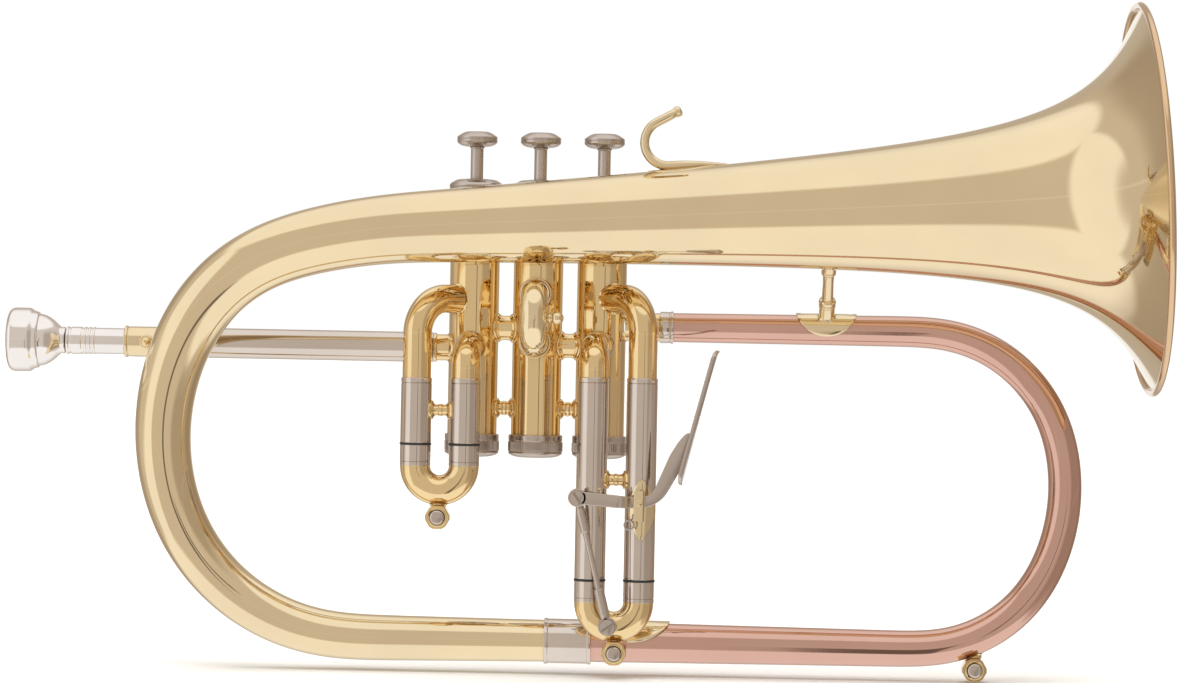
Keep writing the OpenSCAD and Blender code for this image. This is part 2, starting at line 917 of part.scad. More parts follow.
module slide_1_rings() {
  color([0.05, 0.05, 0.05])
    pair(slide1_x, -slide1_offset) {
      pipe(slide1_mid - 0.8, slide1_mid - 0.05, sleeve_r + 0.05, leg_r);
    }
}

module slide_1_crook() {
  color([0.86, 0.70, 0.36])
    translate([slide1_x, -slide1_offset, slide1_low])
      crook(leg_gap / 2);
}

// ---- second slide, pointing forward ----

// two parallel tubes along -Y from y1 forward to y0
module front_pair(y0, y1, r) {
  for (s = [-1, 1])
    translate([0, 0, s * slide2_half])
      y_rod(y0, y1, r);
}

module slide_2_sleeves() {
  color([0.86, 0.70, 0.36])
    difference() {
      front_pair(slide2_mid, 0, sleeve_r);
      front_pair(slide2_mid - over, 0, sleeve_bore);
      translate([0, 0, -30])
        cylinder(r = casing_r, h = 60);
    }
}

module slide_2_crook() {
  color([0.86, 0.70, 0.36])
    difference() {
      union() {
        front_pair(slide2_low, slide2_mid + 17, leg_r);
        translate([0, slide2_low, 0])
          rotate([0, -90, -90])
            half_ring(slide2_half, leg_r);
      }
      front_pair(slide2_low - 0.01, slide2_mid + 18, tube_bore - 0.1);
      translate([0, slide2_low, 0])
        rotate([0, -90, -90])
          half_ring(slide2_half, tube_bore - 0.1);
    }
}

module slide_2_knob() {
  color([0.86, 0.74, 0.48])
    translate([0, slide2_low - slide2_half, 0])
      difference() {
        union() {
          x_rod(3, 7.4, 1.3);
          x_rod(5.5, 6.2, 2.1);
          translate([9, 0, 0])
            sphere(2.5);
        }
        translate([0, slide2_half, 0])
          rotate([0, -90, -90])
            half_ring(slide2_half, leg_r);
      }
}

// ---- third slide ----

module slide_3_ports() {
  color([0.86, 0.70, 0.36])
    for (k = [2, 3])
      port_tube(valve_pitch, slide3_x + slide_ports[k][0] * leg_gap / 2, -slide3_offset, slide3_top,
        slide_ports[k][1], slide_ports[k][2]);
}

module slide_3_sleeves() {
  color([0.78, 0.75, 0.70])
    pair(slide3_x, -slide3_offset) {
      pipe(slide3_mid, slide3_top, sleeve_r, sleeve_bore);
    }
}

module slide_3_legs() {
  color([0.78, 0.75, 0.70])
    pair(slide3_x, -slide3_offset) {
      slide_leg(-44, slide3_mid - 0.8, slide3_low);
    }
}

module slide_3_rings() {
  color([0.05, 0.05, 0.05])
    pair(slide3_x, -slide3_offset) {
      pipe(slide3_mid - 0.8, slide3_mid - 0.05, sleeve_r + 0.05, leg_r);
    }
}

module slide_3_crook() {
  color([0.86, 0.70, 0.36])
    translate([slide3_x, -slide3_offset, slide3_low])
      crook(leg_gap / 2);
}

// ---- trigger ----

// stud on the crook with its slotted head
module crook_stud() {
  color([0.75, 0.72, 0.68])
    translate([stud_x, -slide3_offset, stud_z])
      difference() {
        union() {
          y_rod(-8.4, -4, 3);
          y_rod(-12.2, -8.4, 1.6);
          y_rod(-13.4, -12, 2.9);
        }
        translate([slide3_x - stud_x, 0, slide3_low - stud_z])
          half_ring(leg_gap / 2, sleeve_r - 0.1);
        translate([-4, -14, -0.35])
          cube([8, 1.2, 0.7]);
      }
}

// diamond foot on the sleeve with the strap that carries the lever's pin
module trigger_foot() {
  leg = [slide3_x + leg_gap / 2, -slide3_offset];
  color([0.86, 0.74, 0.48]) {
    difference() {
      intersection() {
        translate([leg[0], leg[1], pivot_z - 14.5])
          cylinder(r = sleeve_r + 0.8, h = 24);
        translate([leg[0] + 0.6, 0, pivot_z - 3])
          rotate([90, 0, 0])
            linear_extrude(60)
              polygon([[0, 11.8], [2.6, 9.5], [5.9, 2], [5.9, -2], [2, -10], [0, -11.8], [-2, -10], [-5.9, -2],
                [-5.9, 2], [-2.6, 9.5]]);
      }
      translate([leg[0], leg[1], pivot_z - 20])
        cylinder(r = sleeve_r, h = 40);
      translate([leg[0] - 20, leg[1], pivot_z - 20])
        cube([40, 20, 40]);
    }
    translate([pivot_x, 0, pivot_z]) {
      difference() {
        translate([-2.1, -slide3_offset - 9.2, -6])
          cube([4.2, 5, 10.6]);
        translate([leg[0] - pivot_x, -slide3_offset, -20])
          cylinder(r = sleeve_r + 0.8, h = 40);
      }
      translate([-2.1, lever_y - 1.6, 3.6])
        cube([2.6, 6, 1]);
      translate([-2.1, lever_y - 1.6, -7])
        cube([4.2, 1.2, 11.6]);
      y_rod(lever_y - 1.6, -slide3_offset - 9, 1.4);
    }
  }
}

// side outline of the lever right of its joggle, from the pivot
function lever_outline() =
  let (h = strip_h / 2, along = [cos(lever_angle), sin(lever_angle)], up = [-along[1], along[0]],
       end = lever_bend * [sin(lever_angle), 1 - cos(lever_angle)] + lever_arm * along)
  concat([[-6.5, -2.1]],
    [for (a = [0:8:lever_angle]) [(lever_bend + 2.1) * sin(a), lever_bend - (lever_bend + 2.1) * cos(a)]],
    [end - h * up, end + (h - 1.6) * up - along * 0.2, end + h * up - along * 2],
    [for (a = [lever_angle:-8:0]) [(lever_bend - 2.1) * sin(a), lever_bend - (lever_bend - 2.1) * cos(a)]],
    [[-6.5, 2.1]]);

// flat lever with its joggle, bend and finger plate
module trigger_lever() {
  color([0.75, 0.72, 0.68])
    translate([pivot_x, 0, pivot_z])
      difference() {
        union() {
          translate([rod_dx, 0, rod_dz])
            y_rod(lever_y, lever_y + strip_t, 3.6);
          translate([rod_dx, lever_y, rod_dz])
            rotate([0, atan2(rod_dz, -rod_dx), 0])
              translate([0, 0, -strip_h / 2])
                cube([18.6, strip_t, strip_h]);
          translate([-6.6, lever_y + 0.4, -2.1])
            cube([1.8, 3.4, 4.2]);
          translate([0, lever_y + 3.9, 0])
            rotate([90, 0, 0])
              linear_extrude(strip_t)
                polygon(lever_outline());
          finger_plate();
        }
        y_rod(lever_y - 1, lever_y + 10, 1.4 + running_gap);
        translate([rod_dx, 0, rod_dz])
          y_rod(lever_y - 1, lever_y + 10, 1.6);
      }
}

// finger plate, leaning away from the horn
module finger_plate() {
  foot = [lever_bend * sin(lever_angle) + 6.1, lever_bend * (1 - cos(lever_angle)) + 2.2];
  translate([foot[0], lever_y - 5.2, foot[1]])
    rotate([0, plate_lean, 0])
      cube([2, plate_w, plate_len]);
}

// screw that joins the rod to the lever
module lever_screw() {
  color([0.75, 0.72, 0.68])
    translate([pivot_x + rod_dx, lever_y, pivot_z + rod_dz])
      difference() {
        union() {
          y_rod(-1.3, 0, 2.4);
          y_rod(-0.1, 6.3, 1.6);
          y_rod(5.4, 6.4, 2.4);
        }
        rotate([0, 40, 0])
          translate([-4, -1.9, -0.35])
            cube([8, 1.2, 0.7]);
      }
}

// connecting rod with tapered ends and a turnbuckle
module trigger_rod() {
  a = [pivot_x + rod_dx, 0, pivot_z + rod_dz];
  b = [stud_x, 0, stud_z];
  d = (b - a) / norm(b - a);
  y = lever_y + strip_t + 1.6;
  depth = [0, y, 0];
  color([0.75, 0.72, 0.68])
    difference() {
      union() {
        translate(a)
          y_rod(y - 1.3, y + 1.3, 3.4);
        translate(b)
          y_rod(y - 1.3, y + 1.3, 3.6);
        rod(a + d * 2 + depth, b - d * 2 + depth, 1.2);
        rod(a + d * 3 + depth, a + d * 14 + depth, 1.5);
        rod(a + d * 14 + depth, a + d * 36 + depth, 1.35);
        rod(a + d * 36 + depth, b - d * 3 + depth, 1.65);
      }
      translate(a)
        y_rod(y - 5, y + 5, 1.6 + running_gap);
      translate(b)
        y_rod(y - 5, y + 5, 2.35);
    }
}

// wire spring beside the strap
module trigger_spring() {
  c = [37.9, -slide3_offset - 9.6, -79];
  color([0.75, 0.72, 0.68]) {
    translate(c)
      rotate([90, 0, 0])
        for (k = [0, 1])
          translate([0, 0, k * 0.8])
            rotate_extrude()
              translate([1.8, 0])
                circle(0.42);
    rod(c + [1.3, 0, 1.3], [pivot_x - 2.4, c[1], pivot_z - 4.5], 0.35);
  }
}

// ---- water keys ----

module water_key_1() {
  color([0.86, 0.74, 0.48])
    difference() {
      translate(key1)
        water_key(7);
      translate([slide1_x, -slide1_offset, slide1_low])
        half_ring(leg_gap / 2, sleeve_r - 0.1);
    }
}

module water_key_2() {
  color([0.86, 0.74, 0.48])
    difference() {
      translate(key2)
        water_key(7);
      translate([slide3_x, -slide3_offset, slide3_low])
        half_ring(leg_gap / 2, sleeve_r - 0.1);
    }
}

module water_key_3() {
  tube = key3 + [0, 0, 12.3];
  along = 6 * [cos(key3_lean), 0, sin(key3_lean)];
  color([0.86, 0.74, 0.48])
    difference() {
      translate(key3)
        water_key(7.6);
      rod(tube - along, tube + along, 7.15);
    }
}

module key_button_1() {
  color([0.75, 0.72, 0.68])
    translate(key1)
      key_button();
}

module key_button_2() {
  color([0.75, 0.72, 0.68])
    translate(key2)
      key_button();
}

module key_button_3() {
  color([0.75, 0.72, 0.68])
    translate(key3)
      key_button();
}

// ---- mouthpiece and mouthpipe ----

// turned silver mouthpiece with its cup, throat and tapered shank
module mouthpiece() {
  color([0.88, 0.87, 0.86])
    translate([mouth_x, 0, pipe_z])
      rotate([0, 90, 0])
        rotate_extrude()
          polygon([[9.6, 0], [11.4, 0.3], [12.3, 1], [mouth_r, 2], [mouth_r, 8.8], [12.2, 9.8], [10.6, 11.4],
            [10.4, 12.6], [9.9, 14], [8.7, 16.6], [7.3, 18.6], [5.5, 20.2], [5, 21.3], [5, 22],
            [4.15, 22.6], [3.75, 40], [2.9, 40], [1.9, 24], [1.9, 20], [3, 17.5], [5, 13], [6.6, 8],
            [7.6, 3.5], [8.1, 1.2], [8.8, 0.3]]);
}

// sliding mouthpipe with its receiver, bored for the shank
module mouthpipe() {
  color([0.82, 0.81, 0.79])
    translate([0, 0, pipe_z])
      difference() {
        union() {
          x_rod(receiver_x, -62, pipe_r);
          x_rod(receiver_x, receiver_x + 1, 5.5);
          x_rod(receiver_x + 2, receiver_x + 6, 5.4);
          x_rod(receiver_x + 8, receiver_x + 9, 5.35);
          x_rod(receiver_x + 10, receiver_x + 11, 5.35);
        }
        x_rod(-170, -61, 4.5);
        translate([receiver_x - 0.01, 0, 0])
          rotate([0, 90, 0])
            cylinder(r1 = 4.2, r2 = 3.78, h = 18);
      }
}

// nickel sleeve with the boss of its lock screw
module mouthpipe_sleeve() {
  color([0.80, 0.76, 0.68])
    translate([0, 0, pipe_z])
      difference() {
        union() {
          x_rod(pipe_sleeve_x, pipe_sleeve_end, pipe_sleeve_r);
          x_rod(pipe_sleeve_x, pipe_sleeve_x + 1.4, pipe_sleeve_r + 0.35);
          translate([lock_x, 0, 0])
            y_rod(-8, 0, 2.7);
        }
        x_rod(pipe_sleeve_x - over, pipe_sleeve_end + over, pipe_r + running_gap);
        translate([lock_x, 0, 0])
          y_rod(-9, 0, 1.2 + running_gap);
      }
}

module lock_screw() {
  color([0.86, 0.70, 0.36])
    translate([lock_x, 0, pipe_z])
      difference() {
        union() {
          y_rod(-11, -5.3, 1.2);
          y_rod(-8.9, -8.2, 2.2);
          translate([0, -10.8, 0])
            sphere(1.9);
        }
      }
}

mouthpiece();
mouthpipe();
mouthpipe_sleeve();
lock_screw();
stub_tubes();
bell_flare();
bell_bow();
red_brass_bow();
bow_ferrules();
bell_brace();
brace_crescents();
slide_stay();
finger_hook();
bell_stays();
spool_braces();
casing_1();
casing_2();
casing_3();
knuckles();
top_caps();
bottom_caps();
piston_1();
piston_2();
piston_3();
stem_1();
stem_2();
stem_3();
button_1();
button_2();
button_3();
spring_1();
spring_2();
spring_3();
slide_1_ports();
slide_1_sleeves();
slide_1_legs();
slide_1_crook();
slide_1_rings();
slide_2_sleeves();
slide_2_crook();
slide_2_knob();
slide_3_ports();
slide_3_sleeves();
slide_3_legs();
slide_3_crook();
slide_3_rings();
crook_stud();
trigger_foot();
trigger_lever();
lever_screw();
trigger_rod();
trigger_spring();
water_key_1();
water_key_2();
water_key_3();
key_button_1();
key_button_2();
key_button_3();
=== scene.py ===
from math import acos, asin, copysign, cos, hypot, pi, radians, sin, tan

import bmesh
import bpy
import numpy as np
from numpy.linalg import norm
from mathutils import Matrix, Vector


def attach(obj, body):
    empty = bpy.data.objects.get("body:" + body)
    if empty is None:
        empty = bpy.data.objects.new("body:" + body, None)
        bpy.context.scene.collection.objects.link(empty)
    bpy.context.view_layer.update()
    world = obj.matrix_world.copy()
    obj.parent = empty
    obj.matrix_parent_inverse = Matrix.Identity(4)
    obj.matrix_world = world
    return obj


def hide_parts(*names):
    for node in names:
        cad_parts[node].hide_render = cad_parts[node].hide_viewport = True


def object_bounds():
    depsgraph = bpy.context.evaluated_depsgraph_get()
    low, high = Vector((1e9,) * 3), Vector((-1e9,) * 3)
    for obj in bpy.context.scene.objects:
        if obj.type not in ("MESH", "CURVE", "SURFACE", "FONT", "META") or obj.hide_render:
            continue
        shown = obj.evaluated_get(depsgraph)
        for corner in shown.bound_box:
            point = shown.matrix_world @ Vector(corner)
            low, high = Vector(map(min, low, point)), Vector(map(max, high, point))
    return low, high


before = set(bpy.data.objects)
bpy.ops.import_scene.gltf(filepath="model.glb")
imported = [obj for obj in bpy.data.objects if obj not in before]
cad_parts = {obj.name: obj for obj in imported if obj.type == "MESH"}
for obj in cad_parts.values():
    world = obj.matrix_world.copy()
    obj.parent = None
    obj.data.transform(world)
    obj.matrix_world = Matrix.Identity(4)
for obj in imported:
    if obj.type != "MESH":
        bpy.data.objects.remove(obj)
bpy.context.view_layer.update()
scene = bpy.context.scene

MM = 0.001
VALVE_X = (-25.15, 0.0, 25.15)
CASING_R = 9.8
STAY_R = 3.2
BELL_Y = -28.5
BOTTOM_Y = -11.3
BELL_TILT = radians(3.3)
RED_TOP_Z = -2.6
# A bow: heading before it, side it turns to, then the turn and radius of each arc, in degrees and mm.
BELL_ARCS = (183.3, 1, (13.5, 44.8, 44.3, 74.1), (219.5, 62.6, 89.7, 73.9))
RED_ARCS = (0.0, -1, (76.9, 39.0, 64.1), (55.3, 75.6, 54.4))
RED_BEND = (152.5, RED_TOP_Z)
RIM = np.array([235.6, BELL_Y, 50.1])
RIM_R = 76.2
BELL_NECK = 22.8
BOW_START_X = -46.3
BRACE_X = 113.8
BOW_END_X = 14.5
RED_START_X = 51.2
SHEET = 0.7
SLEEVE_R = 6.0
SLEEVE_BORE = 5.43
LEG_R = 5.4
PORT_R = 5.6
TUBE_BORE = 4.9
HALF_GAP = 9.525
SLIDE_1 = (-36.5, -20.0)
SLIDE_1_TOP = -24.0
SLIDE_1_LOW = -58.2
SLIDE_3 = (32.5, -27.0)
SLIDE_3_TOP = -22.6
SLIDE_3_LOW = -109.4
PIPE_Z = -12.15
PIVOT = np.array([41.7, 0.0, -70.3])
LEVER_Y = -40.8
EYE_X, EYE_Z = 17.9, -68.75
STUD_X, STUD_Z = 30.3, -118.2


# ---- curves and frames ----


def vec(*v):
    return np.array(v, float)


# X points to the bell's rim, Y to the back and Z up.
X, Y, Z = np.eye(3)


def unit(v):
    return v / norm(v)


def square_to(axis):
    """Two unit vectors square to an axis."""
    axis = unit(axis)
    side = Y if abs(axis[1]) < 0.9 else X
    u = unit(np.cross(side, axis))
    return u, np.cross(axis, u)


def carried_frames(path):
    """Section axes carried along a path without twist."""
    ahead = np.gradient(path, axis=0)
    ahead /= norm(ahead, axis=1)[:, None]
    u = square_to(ahead[0])[0]
    out = []
    for t in ahead:
        u = unit(u - t * np.dot(u, t))
        out.append((u, np.cross(t, u)))
    return out


def full_turn(n):
    """Angles of n points spread round a circle."""
    return np.linspace(0, 2 * pi, n, endpoint=False)


def spokes(u, v, n):
    """Unit vectors from a circle's middle to n points of it."""
    a = full_turn(n)[:, None]
    return np.cos(a) * u + np.sin(a) * v


def circles(path, axes, radii, n):
    """A circle of n points round each point of a path."""
    return [p + r * spokes(u, v, n) for p, (u, v), r in zip(path, axes, radii)]


def corner_path(points, radii, step):
    """A polyline with its corners turned to arcs."""
    out = [points[0]]
    for a, p, b, r in zip(points, points[1:], points[2:], radii):
        d0, d1 = unit(a - p), unit(b - p)
        half = acos(np.clip(np.dot(d0, d1), -1, 1)) / 2
        cut = r / tan(half)
        middle = p + unit(d0 + d1) * (r / sin(half))
        start, end = p + d0 * cut - middle, p + d1 * cut - middle
        turn = pi - 2 * half
        n = max(3, int(turn * r / step))
        for k in range(n + 1):
            s = k / n
            spoke = sin((1 - s) * turn) * start + sin(s * turn) * end
            out.append(middle + spoke / sin(turn))
    out.append(points[-1])
    return even(out, step)


def lengths(points):
    """Length along a line at each of its points."""
    return np.concatenate([[0], np.cumsum(norm(np.diff(points, axis=0), axis=1))])


def points_at(marks, s, line):
    """Points of a line at given lengths, s being the length at each of its own points."""
    return np.stack([np.interp(marks, s, column) for column in line.T], 1)


def even(points, step):
    """The same line with points about step apart, its ends kept."""
    points = np.asarray(points, float)
    s = lengths(points)
    n = max(2, int(round(s[-1] / step)) + 1)
    return points_at(np.linspace(0, s[-1], n), s, points)


def blurred(values, wide):
    """Running mean over wide steps to either side."""
    n = 2 * wide + 1
    return np.convolve(np.pad(values, wide, mode="edge"), np.ones(n) / n, "valid")


def bow_end(start, arcs):
    """Where a bow's last arc ends, in x and z."""
    heading, side, turns, radii = arcs
    (x, z), h = start, radians(heading)
    for turn, r in zip(turns, radii):
        g = h + side * radians(turn)
        x += side * r * (sin(g) - sin(h))
        z -= side * r * (cos(g) - cos(h))
        h = g
    return x, z


def bow_line(start, arcs, lead, blur, step=0.25):
    """A bow's line in the XZ plane, its curvature changing gradually, from lead before start to BOW_END_X.

    Returns its points, their lengths from start, and the length of its arcs and of its straight end.
    """
    heading, side, turns, radii = arcs
    cuts = [0.0]
    for turn, r in zip(turns, radii):
        cuts.append(cuts[-1] + radians(turn) * r)
    tail = side * (BOW_END_X - bow_end(start, arcs)[0])
    s = np.arange(-lead, cuts[-1] + tail + step, step)
    bend = np.zeros(len(s))
    for turn, r, a, b in zip(turns, radii, cuts, cuts[1:]):
        bend += np.clip((np.minimum(s + step / 2, b) - np.maximum(s - step / 2, a)) / step, 0, 1) / r
    soft = bend.copy()
    wide = max(1, int(blur / step))
    for _ in range(2):
        soft = blurred(soft, wide)
    h0 = radians(heading)
    lines = []
    for k in (bend, soft):
        h = h0 + side * (np.cumsum(k) - k / 2) * step
        xz = np.stack([np.cumsum(np.cos(h)), np.cumsum(np.sin(h))], 1) * step
        lines.append(xz - xz[0])
    share = ((s - s[0]) / (s[-1] - s[0]))[:, None]
    xz = lines[1] + (lines[0][-1] - lines[1][-1]) * share
    back = vec(cos(h0), sin(h0)) * lead
    return start - back + xz, s, cuts[-1], tail


BOTTOM_Z = bow_end(RED_BEND, RED_ARCS)[1]


def ease(t):
    """Smooth change from 0 to 1."""
    return (1 - np.cos(pi * np.clip(t, 0, 1))) / 2


def rounded(profile, size, closed=False):
    """A profile whose corners sharper than 20 degrees are rounded off."""
    p = np.array(profile, float)
    out = []
    for i, q in enumerate(p):
        if not closed and i in (0, len(p) - 1):
            out.append(q)
            continue
        a, b = p[i - 1] - q, p[(i + 1) % len(p)] - q
        la, lb = norm(a), norm(b)
        bend = pi - acos(np.clip(np.dot(a, b) / (la * lb), -1, 1))
        if bend < radians(20):
            out.append(q)
            continue
        c = min(size, 0.4 * la, 0.4 * lb)
        s, e = q + a / la * c, q + b / lb * c
        for t in (0, 0.33, 0.67, 1):
            out.append((1 - t) ** 2 * s + 2 * t * (1 - t) * q + t * t * e)
    return np.array(out)


def braced(profile, straight=5.0, near=0.3):
    """The same profile with a point near each end of a long straight, which keeps its shading even."""
    p = np.array(profile, float)
    out = []
    for a, b in zip(p, p[1:]):
        out.append(a)
        span = norm(b - a)
        if span > straight:
            out += [a + (b - a) * near / span, b + (a - b) * near / span]
    return out + [p[-1]]


# ---- meshes ----


def both_ways(half, length):
    """A profile that is the same from either end."""
    return half + [(length - a, r) for a, r in half[::-1]]


class Shape:
    """Closed shells gathered into one mesh. tag is the material of the faces that follow."""

    def __init__(self):
        self.verts, self.faces, self.tags = [], [], []
        self.tag = 0

    def face(self, *corners):
        self.faces.append(corners)
        self.tags.append(self.tag)

    def loft(self, loops, closed=False):
        """Joins loops of points into a skin, closed on itself or capped."""
        base, n, m = len(self.verts), len(loops[0]), len(loops)
        for loop in loops:
            self.verts.extend(loop)
        for i in range(m if closed else m - 1):
            a, b = base + i * n, base + (i + 1) % m * n
            for k in range(n):
                q = (k + 1) % n
                self.face(a + k, a + q, b + q, b + k)
        if not closed:
            self.face(*range(base + n - 1, base - 1, -1))
            self.face(*range(base + (m - 1) * n, base + m * n))
        return self

    def turned(self, origin, axis, profile, n=72, soft=0, closed=False, knurl=None):
        """A profile of (along, radius) turned about an axis, its corners softened by soft.

        knurl is (from, to, teeth, depth).
        """
        if soft:
            profile = rounded(profile, soft, closed)
        if knurl:
            n = knurl[2] * 4
        around = spokes(*square_to(axis), n)
        axis = unit(axis)
        loops = []
        for h, r in braced(profile):
            radius = np.full(n, max(r, 0.01))
            if knurl and knurl[0] <= h <= knurl[1]:
                radius = radius + knurl[3] * (np.arange(n) % 4 < 2)
            loops.append(origin + h * axis + around * radius[:, None])
        return self.loft(loops, closed)

    def ring(self, origin, axis, profile, n, soft=0):
        """A hollow turned piece: its profile closes on itself."""
        return self.turned(origin, axis, profile, n, soft, closed=True)

    def swept(self, path, radius, n=32, bore=None):
        """A round tube along a path, hollow where bore gives an inner radius."""
        path = np.asarray(path, float)
        axes = carried_frames(path)
        outer = circles(path, axes, np.broadcast_to(radius, len(path)), n)
        if bore is None:
            return self.loft(outer)
        inner = circles(path, axes, np.broadcast_to(bore, len(path)), n)
        return self.loft(outer + inner[::-1], closed=True)

    def collar(self, origin, axis, wall_point, wall_axis, wall_r, profile, n=48):
        """A ring whose foot follows a round wall: (distance from the axis, height over the wall)."""
        around = spokes(*square_to(axis), n)
        axis, wall_axis = unit(axis), unit(wall_axis)
        across = axis - wall_axis * np.dot(axis, wall_axis)
        loops = []
        for r, h in profile:
            q = origin + r * around
            off = q - wall_point
            off = off - (off @ wall_axis)[:, None] * wall_axis
            aa, bb, cc = across @ across, off @ across, (off * off).sum(1) - wall_r**2
            t = (-bb - np.sqrt(np.maximum(bb * bb - aa * cc, 0))) / aa
            loops.append(q + (t - h)[:, None] * axis)
        return self.loft(loops, closed=True)

    def weld(self, origin, axis, wall_point, wall_axis, wall_r, r, size):
        """A small solder fillet where a round post of radius r meets a round wall."""
        profile = [
            (r - 0.4, -0.4), (r + size, -0.12), (r + 0.45 * size, 0.2 * size),
            (r + 0.15 * size, 0.5 * size), (r - 0.03, size),
        ]
        return self.collar(origin, axis, wall_point, wall_axis, wall_r, profile)

    def patch(self, outline, place, thick, rings):
        """A thin plate of an outline, laid on a curved surface by place(a, b, height)."""
        outline = np.asarray(outline, float)
        middle = outline.mean(0)
        soft = min(0.35 * thick, 0.3)
        steps = [(s, thick) for s in np.linspace(0.02, 0.94, rings)]
        steps += [(0.985, thick - soft * 0.3), (1, thick - soft), (1, -0.15)]
        steps += [(s, -0.15) for s in np.linspace(0.94, 0.02, rings)]
        loops = []
        for s, h in steps:
            flat = middle + (outline - middle) * s
            loops.append(np.array([place(a, b, h) for a, b in flat]))
        return self.loft(loops)

    def ribbon(self, path, across, heights, thick):
        """A flat strip with softened edges: across gives its wide direction at each point."""
        ahead = np.gradient(path, axis=0)
        loops = []
        for p, w, t, h in zip(path, across, ahead, np.broadcast_to(heights, len(path))):
            w = unit(w)
            flat = unit(np.cross(unit(t), w))
            soft = min(0.35, 0.45 * h, 0.45 * thick)
            loops.append(p + soft_box(h, thick, soft) @ np.stack([w, flat]))
        return self.loft(loops)

    def plate(self, outline, place, y0, y1, edge=0.3):
        """A plate of an outline between two depths, with softened edges, set by place(a, b, depth)."""
        outline = np.asarray(outline, float)
        tangent = np.roll(outline, -1, 0) - np.roll(outline, 1, 0)
        inward = np.stack([-tangent[:, 1], tangent[:, 0]], 1)
        inward /= np.maximum(norm(inward, axis=1), 1e-9)[:, None]
        area = sum(p[0] * q[1] - q[0] * p[1] for p, q in zip(outline, np.roll(outline, -1, 0)))
        inward *= np.sign(area)
        slight = 0.3 * edge
        steps = [
            (y0, edge), (y0 + slight, slight), (y0 + edge, 0), (y1 - edge, 0), (y1 - slight, slight),
            (y1, edge),
        ]
        loops = []
        for y, inset in steps:
            flat = outline + inward * inset
            loops.append(np.array([place(a, b, y) for a, b in flat]))
        return self.loft(loops)


def soft_box(w, t, soft, step=30):
    """Outline of a rectangle with rounded corners, about its middle."""
    out = []
    for sx, sy, start in ((1, 1, 0), (-1, 1, 90), (-1, -1, 180), (1, -1, 270)):
        for a in range(0, 91, step):
            c = radians(start + a)
            out.append((sx * (w / 2 - soft) + soft * cos(c), sy * (t / 2 - soft) + soft * sin(c)))
    return np.array(out)


def placed(name, data):
    """A new object of this data, put in the scene."""
    thing = bpy.data.objects.new(name, data)
    scene.collection.objects.link(thing)
    return thing


def add(name, shape, slot, *stands_for, body="horn", looks=None, sharp=38):
    """Makes one piece of a shape, ties it to its body and hides the nodes it stands for.

    Its looks are those of its slot, or the given materials.
    """
    mesh = bpy.data.meshes.new(name)
    verts = np.asarray(shape.verts, float) * MM
    mesh.from_pydata(verts.tolist(), [], shape.faces)
    for material in looks or [FINISH[slot]]:
        mesh.materials.append(material)
    mesh.polygons.foreach_set("material_index", shape.tags)
    bm = bmesh.new()
    bm.from_mesh(mesh)
    bmesh.ops.recalc_face_normals(bm, faces=bm.faces)
    bm.to_mesh(mesh)
    bm.free()
    mesh.shade_smooth()
    mesh.set_sharp_from_angle(angle=radians(sharp))
    piece = placed(name, mesh)
    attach(piece, body)
    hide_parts(*stands_for)


# ---- materials ----


def nodes_of(name):
    material = bpy.data.materials.new(name)
    material.use_nodes = True
    tree = material.node_tree
    return material, tree, tree.nodes["Principled BSDF"]


def fill(tree, sockets, values):
    """Sets sockets by name or number: a link where the value is an output, else a number or colour."""
    for key, value in values.items():
        if isinstance(value, bpy.types.NodeSocket):
            tree.links.new(value, sockets[key])
        else:
            sockets[key].default_value = value


def made(tree, kind, values, output, **settings):
    """One output of a new shader node."""
    node = tree.nodes.new("ShaderNode" + kind)
    for key, value in settings.items():
        setattr(node, key, value)
    fill(tree, node.inputs, values)
    return node.outputs[output]


def noise(tree, scale, detail=2.0, stretch=(1, 1, 1)):
    """Noise in the object's own space, stretched along its axes."""
    place = made(tree, "TexCoord", {}, "Object")
    place = made(tree, "Mapping", {"Vector": place, "Scale": stretch}, "Vector")
    return made(tree, "TexNoise", {"Vector": place, "Scale": scale, "Detail": detail}, "Fac")


def spread(tree, source, low, high, start=0.3, end=0.7):
    """A value between start and end moved to between low and high."""
    ends = {"From Min": start, "From Max": end, "To Min": low, "To Max": high}
    return made(tree, "MapRange", {"Value": source, **ends}, "Result")


def mixed(tree, factor, a, b):
    """A colour between a and b, each a colour or an output."""
    a, b = ((*v, 1) if isinstance(v, tuple) else v for v in (a, b))
    return made(tree, "Mix", {"Factor": factor, "A": a, "B": b}, "Result", data_type="RGBA")


def bumped(tree, height, strength, distance):
    return made(tree, "Bump", {"Height": height, "Strength": strength, "Distance": distance}, "Normal")


def metal(name, colour, shade_colour, rough, smudge, coat=0.0, streak=None, grain=0.02, shade_depth=0.5, shine=1.0):
    """A polished or brushed metal: smudged gloss, cloudy colour, painted shade darkening its crevices and
    a fine surface.
    """
    material, tree, shader = nodes_of(name)
    cloud = spread(tree, noise(tree, 28, 4), 0.0, 1.0)
    tone = mixed(tree, cloud, colour, tuple(c * 0.94 for c in colour))
    # Painted shade: ambient occlusion darkens the base colour toward the given dark colour in crevices and
    # between parts.
    crevice = made(tree, "AmbientOcclusion", {"Distance": 0.0022}, "AO", samples=4)
    painted_shade = spread(tree, crevice, shade_depth, 0.0, 0.25, 0.85)
    blur = spread(tree, noise(tree, 55, 5), rough, rough + smudge, 0.35, 0.75)
    if streak:
        fine = noise(tree, 1.0, 3, streak)
        blur = made(tree, "Math", {0: blur, 1: spread(tree, fine, -0.03, 0.05)}, "Value", operation="ADD")
        surface = bumped(tree, fine, grain, 0.0003)
    else:
        surface = bumped(tree, noise(tree, 700, 2), grain, 0.0001)
    looks = {"Base Color": mixed(tree, painted_shade, tone, shade_colour), "Metallic": shine, "Roughness": blur}
    fill(tree, shader.inputs, {**looks, "Coat Weight": coat, "Coat Roughness": 0.04, "Normal": surface})
    return material


